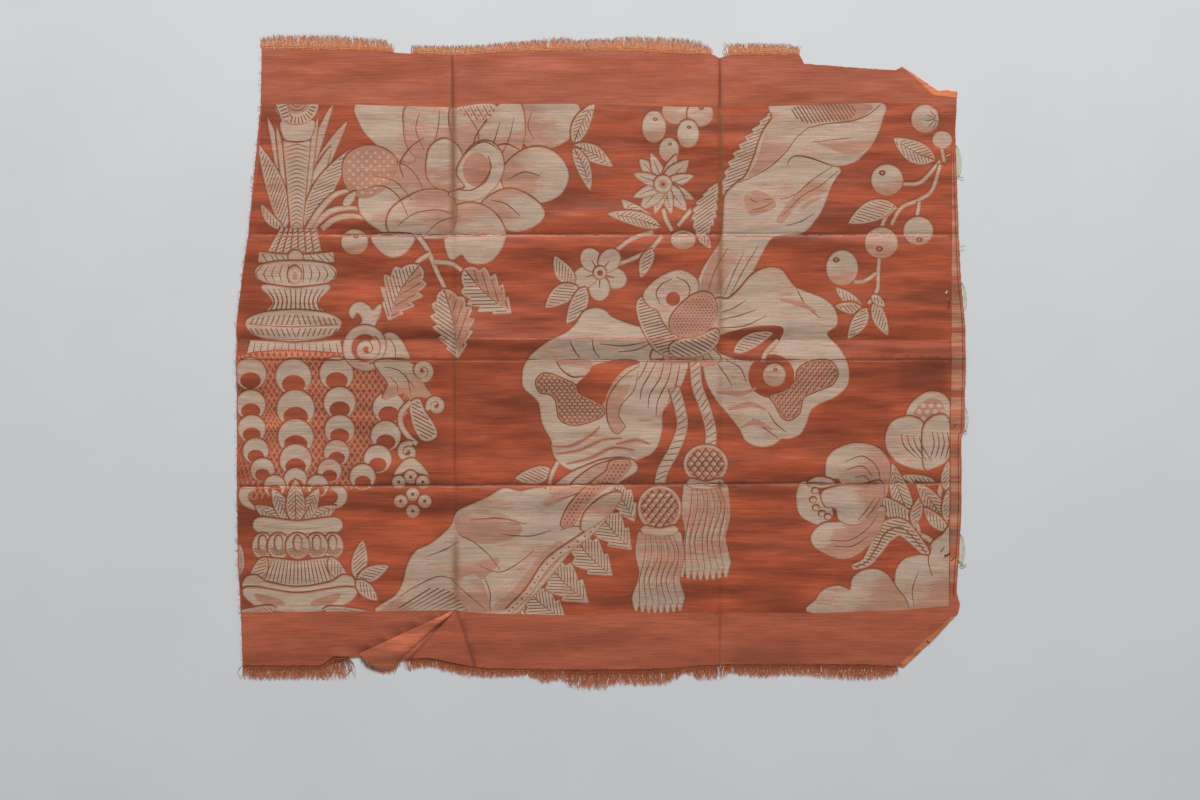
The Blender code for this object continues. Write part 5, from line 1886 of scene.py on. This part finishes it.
def draw_bow(draft):
    """Both loops of the bow, with the meshed linings of their turned edges."""
    draft.shape(
        ((650, 330), (640, 328), (626, 324), (612, 318), (604, 311), (594, 309), (584, 313), (577, 324),
         (566, 334), (553, 340), (538, 350), (530, 358), (524, 369), (524, 386), (534, 396), (540, 404),
         (543, 423), (552, 440), (553, 450), (560, 463), (576, 470), (590, 465), (607, 458), (626, 461),
         (640, 458), (654, 450), (661, 432), (662, 412), (672, 398), (682, 382), (688, 362), (690, 340))
    )
    draft.shape(((592, 366), (620, 359), (640, 362), (624, 374), (610, 388), (604, 403), (598, 404),
                 (580, 394), (576, 385), (585, 376)), "ground", halo=False)
    mesh = curve(((536, 382), (542, 374), (551, 374), (563, 379), (575, 385), (579, 394), (592, 400),
                  (603, 407), (602, 416), (582, 424), (568, 424), (559, 417), (556, 401), (550, 394),
                  (540, 392)), True)
    draft.paint(outset(mesh, 1.2), "line")
    draft.lattice(mesh, 52.0, 4.0, 1.05, 0.85)
    draft.shape(((556, 361), (574, 359), (592, 361), (590, 370), (583, 377), (574, 378),
                 (564, 371)), "cream", ((574, 372), (574, 358), 0.95), False)
    draft.line(((556, 361), (562, 370), (573, 377), (584, 376)), 2.2)
    draft.shape(((640, 364), (634, 376), (628, 392), (621, 405), (619, 415), (625, 426), (619, 434),
                 (612, 431), (606, 418), (605, 402), (612, 384), (624, 370)), "cream",
                 ((634, 372), (612, 408), 0.9), False)
    draft.line(((640, 365), (622, 378), (608, 398), (607, 418), (613, 432), (620, 433), (626, 426)), 1.7)
    draft.line(((638, 372), (634, 390), (622, 404), (619, 416), (626, 426)), 1.3)
    for points in (
        ((552, 446), (570, 446), (590, 436), (600, 426)), ((556, 454), (580, 450), (602, 440), (622, 438)),
        ((566, 464), (590, 458), (612, 448), (634, 450)), ((616, 444), (636, 440), (650, 444)),
    ):
        draft.band(points, (2.0, 5.0, 2.0), "pink", halo=False)
        draft.line(points, 1.0)
    draft.line(((570, 340), (574, 350), (580, 358)), 1.6)
    draft.line(((592, 338), (594, 350), (600, 358)), 1.6)
    draft.line(((600, 344), (624, 346), (646, 342)), 1.5)
    draft.line(((618, 352), (636, 350), (650, 344)), 1.5)
    draft.lines(1.6, (
        ((656, 362), (650, 374), (642, 388), (640, 400)), ((664, 362), (660, 378), (650, 394), (648, 408)),
        ((672, 362), (668, 380), (658, 400), (656, 416)), ((648, 360), (644, 370), (638, 380)),
        ((680, 364), (676, 384), (668, 402)),
    ))
    draft.shape(
        ((716, 300), (728, 300), (740, 290), (752, 276), (766, 269), (780, 270), (788, 280), (795, 288),
         (810, 294), (824, 300), (834, 310), (836, 324), (826, 334), (838, 348), (845, 360), (848, 374),
         (845, 387), (833, 397), (819, 403), (810, 410), (806, 422), (800, 433), (789, 438), (781, 438),
         (773, 444), (759, 446), (746, 440), (740, 428), (728, 413), (717, 400), (707, 382), (703, 362),
         (700, 344), (704, 320))
    )
    draft.shape(((716, 338), (736, 330), (758, 326), (782, 327), (780, 340), (770, 352), (758, 360),
                 (738, 360), (718, 352)), "ground", halo=False)
    draft.disc((771, 376), 23, 22, "ground", halo=False)
    draft.leaf((772, 333), (734, 352), 13, 2)
    mesh = curve(((798, 369), (812, 361), (829, 361), (837, 372), (832, 384), (816, 391), (803, 398),
                  (799, 413), (789, 420), (781, 416), (775, 404), (770, 396), (784, 391), (795, 381)), True)
    draft.paint(outset(mesh, 1.2), "line")
    draft.lattice(mesh, 52.0, 4.0, 1.05, 0.85)
    draft.berry((774, 375), 10.5, 10.5)
    draft.band(((762, 362), (766, 352), (778, 340)), (2.6, 2.6, 2.6))
    draft.lines(1.5, (
        ((720, 320), (738, 316), (756, 310)), ((720, 328), (744, 326), (766, 316)),
        ((722, 312), (734, 308), (746, 300)),
        ((716, 362), (726, 376), (732, 386)), ((726, 360), (740, 368), (746, 382)),
        ((752, 418), (764, 428), (778, 438)), ((796, 288), (806, 306), (820, 318)),
        ((768, 412), (776, 424), (786, 432)),
    ))
    for points in (((716, 392), (740, 394), (756, 388)), ((728, 410), (750, 404), (766, 410)),
                   ((740, 428), (756, 422), (772, 430)), ((780, 300), (800, 304), (816, 312))):
        draft.band(points, (2.0, 6.0, 2.0), "pink", halo=False)


def draw_knot(draft):
    """Rosette at the middle of the bow."""
    draft.shape(((660, 346), (700, 344), (712, 350), (720, 360), (706, 366), (690, 362), (670, 362),
                 (652, 360)), shade=((690, 350), (690, 366), 0.7))
    for x in range(660, 716, 9):
        draft.line(((686 + (x - 686) * 0.6, 346), (x, 362)), 1.4)
    left = draft.shape(((639, 300), (637, 309), (640, 322), (646, 336), (656, 350), (670, 356), (682, 352),
                        (676, 336), (664, 320), (656, 308), (646, 298)))
    draft.hatch(outset(left, -0.8), -14.0, 3.1, 1.1)
    right = draft.shape(((676, 342), (700, 336), (716, 330), (718, 340), (708, 352), (694, 357), (678, 357),
                         (670, 350)))
    draft.hatch(outset(right, -0.8), 28.0, 3.6, 1.2)
    draft.shape(((644, 297), (648, 288), (660, 278), (678, 271), (692, 276), (698, 286), (694, 300),
                 (684, 312), (676, 322), (674, 334), (664, 322), (658, 310), (650, 306)))
    draft.line(((660, 304), (656, 293), (662, 284), (672, 279)), 1.6)
    draft.line(((676, 277), (686, 282), (690, 291), (686, 301)), 1.6)
    draft.disc((673, 299), 7.2, 7.2, "ground", halo=False)
    heart = draft.shape(((678, 309), (690, 298), (702, 293), (711, 296), (716, 308), (714, 320), (708, 329),
                         (696, 335), (682, 336), (672, 330), (671, 320)), "pink")
    draft.dots(heart, (3.6, 2.8), 0.75, "line")


def draw_tassels(draft):
    """Two ropes with tassels below the knot."""
    draft.rope(((674, 388), (680, 408), (682, 428), (674, 450), (663, 470), (659, 488)), 9.0)
    draft.rope(((695, 362), (697, 386), (705, 408), (711, 432), (709, 450)), 9.0)
    for x, y, across, down, skirt_top, skirt_low, lean in (
        (705.5, 464.0, 21.0, 18.5, 486.0, 574.0, -2.0), (659.5, 508.0, 21.0, 21.5, 534.0, 608.0, -1.5),
    ):
        tips = []
        for tip in range(17):
            share = tip / 8.0 - 1.0
            drop = 5.5 if tip % 2 else -4.5
            tips.append((x + lean - share * (across + 4.0), skirt_low + drop - 4.0 * share * share))
        middle = blend(skirt_top, skirt_low, 0.5)
        left, right = x - across - 1.0, x + across + 1.0
        skirt = [(x - across * 0.8, skirt_top - 3.0), (x + across * 0.8, skirt_top - 3.0),
                 (right, skirt_top + 8.0), (right + 1.5, middle - 14.0), (right - 3.0, middle + 8.0),
                 (right + 2.0, skirt_low - 13.0)]
        skirt += tips
        skirt += [(left - 4.0, skirt_low - 13.0), (left + 2.5, middle + 4.0), (left - 1.0, middle - 16.0),
                  (left, skirt_top + 8.0)]
        draft.shape(skirt, "cream", ((x, skirt_low + 10.0), (x + across, middle), 0.4))
        for strand in range(-3, 4):
            share = strand / 3.7
            sway = 2.2 + 0.9 * (strand % 3)
            points = (
                (x + share * across * 0.8, skirt_top + 1.0), (x + share * across + sway, skirt_top + 22.0),
                (x + lean * 0.6 + share * across - sway, blend(skirt_top, skirt_low, 0.62)),
                (x + lean + share * (across + 3.0) + 0.6 * sway, skirt_low - 4.0),
            )
            draft.line(points, 1.1)
            draft.band([(px + 2.8, py + 5.0) for px, py in points[:3]], (0.8, 2.6, 0.8), "pink", halo=False)
        head = draft.disc((x, y), across, down)
        draft.lattice(outset(head, -1.2), 52.0, 6.0, 1.4, 1.5)
        low = y + down - 3.0
        collar = ((x - across * 0.72, low), (x, low + 3.0), (x + across * 0.72, low),
                  (x + across * 0.8, low + 6.0),
                  (x, low + 9.0), (x - across * 0.8, low + 6.0))
        draft.shape(collar)


def draw_lower_drapery(draft):
    """Drapery sweeping down to the lower border, edged with a cord and a long feathered frond."""
    for tip, base, width, bend in (
        ((541, 622), (506, 602), 26, -3), ((566, 620), (524, 586), 30, -3),
        ((588, 602), (546, 560), 32, -3),
        ((612, 575), (574, 536), 31, -3), ((631, 549), (596, 508), 30, -2), ((634, 521), (612, 484), 22, 1),
    ):
        draft.leaf(tip, base, width, bend, "feather", 3)
    draft.shape(
        ((606, 460), (588, 466), (570, 474), (552, 487), (534, 489), (520, 492), (504, 489), (488, 498),
         (470, 506), (458, 512), (452, 526), (442, 536), (430, 545), (416, 552), (408, 566), (404, 582),
         (396, 596), (378, 612), (450, 613), (510, 614), (530, 598), (548, 578), (566, 556), (584, 532),
         (600, 506), (616, 484), (636, 470), (630, 460))
    )
    for points, shade in (
        (((456, 514), (480, 508), (516, 520), (520, 534), (490, 544), (460, 536)),
         ((486, 508), (486, 530), 0.9)),
        (((454, 556), (480, 552), (500, 560), (480, 580), (456, 576)), ((470, 552), (476, 574), 0.8)),
        (((540, 496), (566, 484), (596, 470), (604, 476), (576, 494), (548, 506)),
         ((570, 482), (576, 498), 0.9)),
        (((540, 556), (560, 540), (562, 556), (540, 582), (516, 606), (486, 612), (512, 590)),
         ((520, 560), (544, 584), 0.95)),
        (((456, 584), (474, 574), (486, 590), (488, 612), (458, 612)), ((458, 584), (486, 606), 0.8)),
        (((380, 612), (398, 598), (416, 596), (420, 612)), ((410, 596), (392, 612), 0.9)),
    ):
        draft.shape(points, "cream", shade, False)
    draft.lines(1.4, (
        ((458, 534), (474, 542), (490, 556), (500, 570)), ((400, 596), (420, 584), (440, 576), (456, 580)),
        ((484, 576), (490, 592), (490, 612)), ((428, 556), (444, 550), (458, 542)),
        ((480, 566), (500, 572), (520, 562), (534, 550)), ((452, 580), (470, 596), (486, 610)),
        ((556, 500), (576, 494), (600, 480)), ((560, 530), (574, 526), (586, 528)),
        ((470, 520), (500, 518), (526, 524)), ((500, 534), (530, 536), (552, 530)),
    ))
    patch = curve(((400, 612), (412, 598), (430, 588), (450, 590), (462, 602), (464, 613)), True)
    draft.hatch(patch, -32.0, 4.2, 1.3)
    cord = draft.band(((621, 492), (606, 514), (588, 534), (550, 561), (529, 591), (508, 612)), (5, 5.6, 5))
    for place in cord[1::2]:
        draft.paint(round_loop(place, 1.0), "line")
    draft.shape(((621, 494), (614, 508), (600, 521), (583, 530), (584, 516), (594, 504), (608, 495)),
                shade=((590, 528), (612, 496), 0.4))
    draft.shape(((572, 486), (584, 474), (600, 465), (622, 460), (612, 472), (594, 482)),
                shade=((584, 488), (600, 470), 0.5))
    arc = curve(((612, 462), (629, 462), (624, 474), (606, 487), (592, 497), (582, 509), (572, 525),
                 (562, 525), (568, 509), (580, 494), (596, 480), (607, 472)), True)
    draft.shape(arc, "pink", smoothed=False)
    draft.dots(arc, (4.4, 3.4), 1.0, "line")
    draft.leaf((516, 478), (551, 470), 15, 2)
    draft.band(((558, 462), (552, 474), (548, 490)), (2.4, 2.4, 2.4))


def draw_star_spray(draft):
    """Berries, a star flower, leaves and a small blossom at the top of the middle."""
    for x, y, across, down in (
        (654, 127, 11, 15), (675, 111, 12, 12), (700, 114, 12, 12), (688, 134, 10, 13), (669, 150, 9, 11),
    ):
        draft.berry((x, y), across, down)
    for points in (
        ((663, 209), (666, 220), (672, 231)), ((653, 232), (632, 239), (612, 254), (602, 262)),
        ((662, 236), (650, 250), (630, 260), (612, 266)), ((694, 207), (686, 216), (678, 226)),
    ):
        draft.band(points, (2.4, 2.4, 2.0))
    for tip, width in (
        ((640, 160), 15), ((651, 154), 10), ((676, 156), 10), ((688, 161), 15), ((693, 176), 10),
        ((693, 199), 10), ((686, 210), 15), ((671, 213), 10), ((655, 213), 10), ((641, 209), 15),
        ((634, 197), 10), ((634, 174), 10),
    ):
        draft.leaf(tip, (664, 185), width, 0, "ribbed")
    draft.disc((663, 184.5), 8, 8)
    draft.disc((663, 184.5), 4.6, 4.6, "pink", halo=False)
    draft.disc((663, 184.5), 2.0, 2.0, "line", halo=False)
    draft.leaf((622, 200), (656, 226), 14, 2, "feather")
    draft.leaf((608, 214), (660, 227), 13, -2, "feather")
    draft.leaf((716, 190), (696, 232), 18, 3, "feather", 5)
    draft.leaf((710, 248), (698, 234), 8, 1)
    draft.berry((683, 240), 11.5, 8.5, False)
    draft.line(((674, 236), (683, 233), (692, 236)), 1.2)
    for angle in range(20, 380, 72):
        draft.disc(np.array((600.0, 273.0)) + 15.5 * direction(angle), 11.5, 9.5, turn=angle)
        draft.rays((600.0, 273.0), (6.0, 15.0), (angle,), (1.6, 1.3, 0.6))
    draft.disc((600, 273), 5.6)
    draft.disc((600, 273), 3.0, 3.0, "line", halo=False)
    draft.leaf((555, 257), (574, 284), 15, 2)
    draft.leaf((546, 307), (577, 287), 17, -2)
    draft.leaf((567, 323), (585, 288), 15, 2)
    draft.leaf((641, 277), (652, 250), 11, -1)


def draw_cherry_spray(draft):
    """Cherries on forked stems at the right."""
    for points in (
        ((903, 184), (921, 182), (940, 161)), ((940, 165), (932, 190), (919, 200), (901, 208), (891, 225)),
        ((919, 202), (918, 210), (916, 218)), ((896, 207), (886, 216), (881, 228)),
        ((879, 258), (878, 272), (877, 290), (868, 304)), ((876, 273), (865, 281), (854, 282)),
        ((940, 130), (941, 146), (944, 162)),
    ):
        draft.band(points, (1.6, 1.9, 1.6))
    draft.berry((925, 119), 13, 13, False)
    draft.rays((937.0, 119.0), (2.0, 11.0), range(-70, 260, 30), (0.8, 1.2, 0.8))
    draft.disc((942, 140), 9, 8)
    draft.leaf((894, 139), (934, 160), 20, 2, "feather")
    for x, y, across, down, spot in (
        (887, 180, 15.0, 14.5, (882.0, 173.0)), (918, 231, 14.0, 13.0, (919.0, 240.0)),
        (881, 243, 15.5, 14.5, (879.0, 249.0)), (842, 268, 15, 16.5, (836.0, 260.0)),
    ):
        draft.berry((x, y), across, down, spot)
    draft.leaf((849, 223), (893, 205), 19, -2)
    for tip, base, width, bend in (
        ((836, 288), (861, 307), 10, 1), ((836, 306), (862, 310), 10, 0), ((848, 338), (866, 309), 13, 1),
        ((887, 335), (874, 303), 12, -1), ((884, 306), (872, 296), 7, 0),
    ):
        draft.leaf(tip, base, width, bend)


def draw_roses(draft):
    """Two full-blown flowers and a bud with striped leaves at the lower right."""
    for points in (
        ((952, 500), (950, 540), (944, 556)), ((944, 556), (930, 540), (918, 534)),
        ((948, 520), (938, 500), (946, 470)),
    ):
        draft.band(points, (3, 3, 3))
    for tip, base, width, bend, kind in (
        ((892, 464), (910, 518), 17, 2, "feather"), ((876, 496), (920, 538), 19, -2, "hatched"),
        ((921, 496), (913, 524), 10, 0, "hatched"), ((902, 476), (934, 482), 9, 1, "hatched"),
        ((916, 482), (946, 524), 16, -1, "feather"), ((924, 508), (946, 530), 11, 1, "hatched"),
        ((948, 462), (946, 490), 11, 0, "hatched"), ((948, 490), (946, 520), 9, 0, "hatched"),
    ):
        draft.leaf(tip, base, width, bend, kind)
    frond = draft.band(((852, 567), (866, 562), (876, 548), (886, 532), (902, 528), (922, 548), (930, 560)),
                       (3, 19, 3))
    stripes = ribbon(frond, (2.0, 17.0, 2.0))
    draft.hatch(stripes, 12.0, 3.3, 1.1)
    draft.paint(ribbon(frond[1:-2], (1.0, 1.7, 0.8)), "line")
    cap = draft.shape(((905, 432), (908, 410), (918, 398), (932, 392), (946, 398), (952, 416), (950, 436),
                       (926, 440)))
    draft.paint(outset(cap, -6.0), "pink")
    draft.dots(outset(cap, -4.5), (8.0, 6.4), 2.6)
    for points in (
        ((924, 426), (914, 418), (902, 418), (891, 424), (886, 438), (889, 452), (900, 463), (919, 469),
         (928, 466), (927, 446)),
        ((924, 428), (932, 418), (944, 416), (951, 428), (951, 446), (946, 460), (934, 467), (925, 468),
         (923, 448)),
    ):
        draft.shape(points)
    for x in range(4):
        draft.line(((901 + 6 * x, 434 + x), (904 + 6 * x, 446), (916 + 5 * x, 458 + x)), 1.5)
        draft.line(((932 + 5 * x, 432), (934 + 5 * x, 444), (930 + 5 * x, 458)), 1.4)
    for points, shade in (
        (((826, 470), (828, 458), (838, 449), (856, 444), (876, 448), (888, 462), (888, 480), (884, 496),
          (870, 492), (846, 486), (838, 478), (828, 478)), ((848, 456), (866, 478), 0.5)),
        (((818, 494), (804, 482), (797, 494), (799, 512), (808, 520), (822, 524), (832, 512)), None),
        (((808, 484), (816, 478), (828, 479), (834, 484), (820, 487)), None),
        (((812, 535), (824, 524), (846, 522), (872, 512), (884, 508), (880, 528), (864, 548), (844, 558),
          (824, 552), (814, 545)), ((842, 520), (858, 540), 0.8)),
        (((822, 493), (838, 487), (862, 486), (880, 482), (882, 498), (872, 514), (856, 524), (840, 520),
          (836, 508), (826, 506)), ((848, 494), (876, 490), 0.95)),
    ):
        draft.shape(points, shade=shade)
    for x, y in ((815, 491), (813, 500), (816, 508), (822, 514), (828, 517)):
        draft.disc((x, y), 2.6, 2.0)
    draft.lines(1.5, (
        ((844, 462), (862, 456), (876, 466), (880, 480)), ((846, 470), (862, 466), (872, 476)),
        ((854, 478), (864, 476), (872, 484)),
        ((830, 540), (850, 540), (868, 528), (878, 514)), ((834, 546), (852, 546), (868, 536)),
        ((866, 518), (874, 508), (880, 498)),
        ((858, 520), (868, 508), (874, 498)),
    ))
    for points, shade in (
        (((902, 612), (896, 590), (896, 572), (904, 560), (918, 556), (930, 556), (932, 544), (942, 536),
          (952, 532), (952, 612)), ((918, 566), (944, 600), 0.85)),
        (((812, 612), (816, 600), (824, 590), (838, 586), (850, 590), (853, 578), (866, 570), (882, 572),
          (894, 586), (902, 612)), ((852, 590), (876, 612), 0.7)),
    ):
        draft.shape(points, shade=shade)
    draft.line(((932, 546), (928, 560), (932, 576)), 1.4)
    draft.line(((918, 572), (912, 590), (914, 606)), 1.2)


def draw_bands(draft):
    """The figured field between its plain bands."""
    sides = [(x, y) for y, x in reversed(FIELD_LEFT)]
    draft.paint(list(FIELD_TOP) + list(reversed(FIELD_BOTTOM)) + sides, "ground")


def draw_crease_shade_and_wear(draft):
    """Painted shade, wear and painted highlights along the crosswise creases."""
    draw = random.Random(CREASE_LINE_SEED)
    for start, end, width, tone in SHADE_WEAR_AND_HIGHLIGHT_LINES:
        run = np.linspace(start, end, CREASE_LINE_STEPS)
        run[:, 1] += [draw.gauss(0.0, CREASE_LINE_WANDER) for _ in run]
        for index in range(0, CREASE_LINE_STEPS - CREASE_LINE_PIECE, CREASE_LINE_PIECE):
            piece = run[index:index + CREASE_LINE_PIECE + 1]
            sizes = [width * draw.uniform(*CREASE_LINE_SHARES) for _ in range(3)]
            draft.paint(ribbon(piece, sizes), tone)


def draw_selvedge(draft):
    """Striped strip of the selvedge, and the raw edges of the two right corners."""
    draw = random.Random(SELVEDGE_SEED)
    y = SELVEDGE_ROWS[0]
    while y < SELVEDGE_ROWS[1]:
        step = draw.uniform(*SELVEDGE_STRIPES)
        low = min(y + step, SELVEDGE_ROWS[1])
        tone = draw.choice(SELVEDGE_TONES)
        left = float(read_table(SELVEDGE_LEFT, y))
        corners = (
            (left, y), (read_table(SELVEDGE_RIGHT, y), y), (read_table(SELVEDGE_RIGHT, low), low),
            (left, low),
        )
        draft.paint(corners, tone, kept_in=False)
        y = low
    for table, width, inset in ((SELVEDGE_LEFT, 0.7, 0.0), (SELVEDGE_RIGHT, 1.1, -1.6)):
        line = np.array([(x + inset, y) for y, x in table], float)
        draft.paint(ribbon(curve(line), (width, width, width)), "line", kept_in=False)
    for corner, widths in ((LOWER_CORNER, (3.0, 7.0, 5.0)), (UPPER_CORNER, (2.0, 5.0, 8.0))):
        draft.paint(ribbon(curve(corner), widths), "edge", kept_in=False)


draft = Draft((FIELD_TOP, FIELD_RIGHT, FIELD_BOTTOM, FIELD_LEFT))
for draw_motif in (
    draw_bands, draw_plumes, draw_urn_neck, draw_urn_body, draw_volute, draw_foot, draw_peony,
    draw_peony_spray, draw_star_spray, draw_upper_drapery, draw_bow, draw_lower_drapery, draw_knot,
    draw_tassels, draw_cherry_spray, draw_roses, draw_crease_shade_and_wear, draw_selvedge,
):
    draw_motif(draft)
sheet_piece = build_sheet(draft.shapes)
sheet_piece.data.materials.append(silk_material())
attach(sheet_piece, "root")
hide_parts("cloth")

warp = thread_material()
bottom_edge = tuple(reversed(HEM))
cut_edge = tuple(reversed(CUT_HEM))
flap_edge = tuple(row[1:] for row in FLAP_HEM)
panel_edge = tuple(row[1:] for row in PANEL_HEM) + bottom_edge[1:]
for seed, (name, edge, span, side, tips, lift, colours) in enumerate((
    ("top_left", TOP_EDGE, (-253.8, -156.5), 1.0, TIPS_TOP_LEFT, root_lift, TOP_COLOURS),
    ("top_middle", TOP_EDGE, (-141.5, 83.0), 1.0, TIPS_TOP_MIDDLE, root_lift, TOP_COLOURS),
    ("top_right", TOP_EDGE, (95.3, 147.8), 1.0, TIPS_TOP_RIGHT, root_lift, TOP_COLOURS),
    ("bottom_left", cut_edge, (-268.0, -190.5), -1.0, TIPS_BOTTOM_LEFT, root_lift, BOTTOM_COLOURS),
    ("bottom_flap", flap_edge, (-178.5, -150.5), -1.0, TIPS_BOTTOM_FLAP, flap_root_lift, FLAP_COLOURS),
    ("bottom_middle", panel_edge, (-144.0, 88.0), -1.0, TIPS_BOTTOM_MIDDLE, root_lift, BOTTOM_COLOURS),
    ("bottom_right", bottom_edge, (91.0, 221.0), -1.0, TIPS_BOTTOM_RIGHT, root_lift, BOTTOM_COLOURS),
)):
    draw = random.Random(seed)
    fringe(
        "warp_ends_" + name, "fringe_" + name, edge, span, side, tips, lift, colours, warp, draw,
    )
side_traces(warp)

add_floor()
add_camera()
add_light("key", KEY_PLACE, (0.0, 0.0, 0.0), KEY_SIZE, KEY_POWER)
add_light("fill", FILL_PLACE, (0.0, 0.0, 0.0), FILL_SIZE, FILL_POWER)
add_world()
bpy.context.scene.view_settings.view_transform = "Standard"
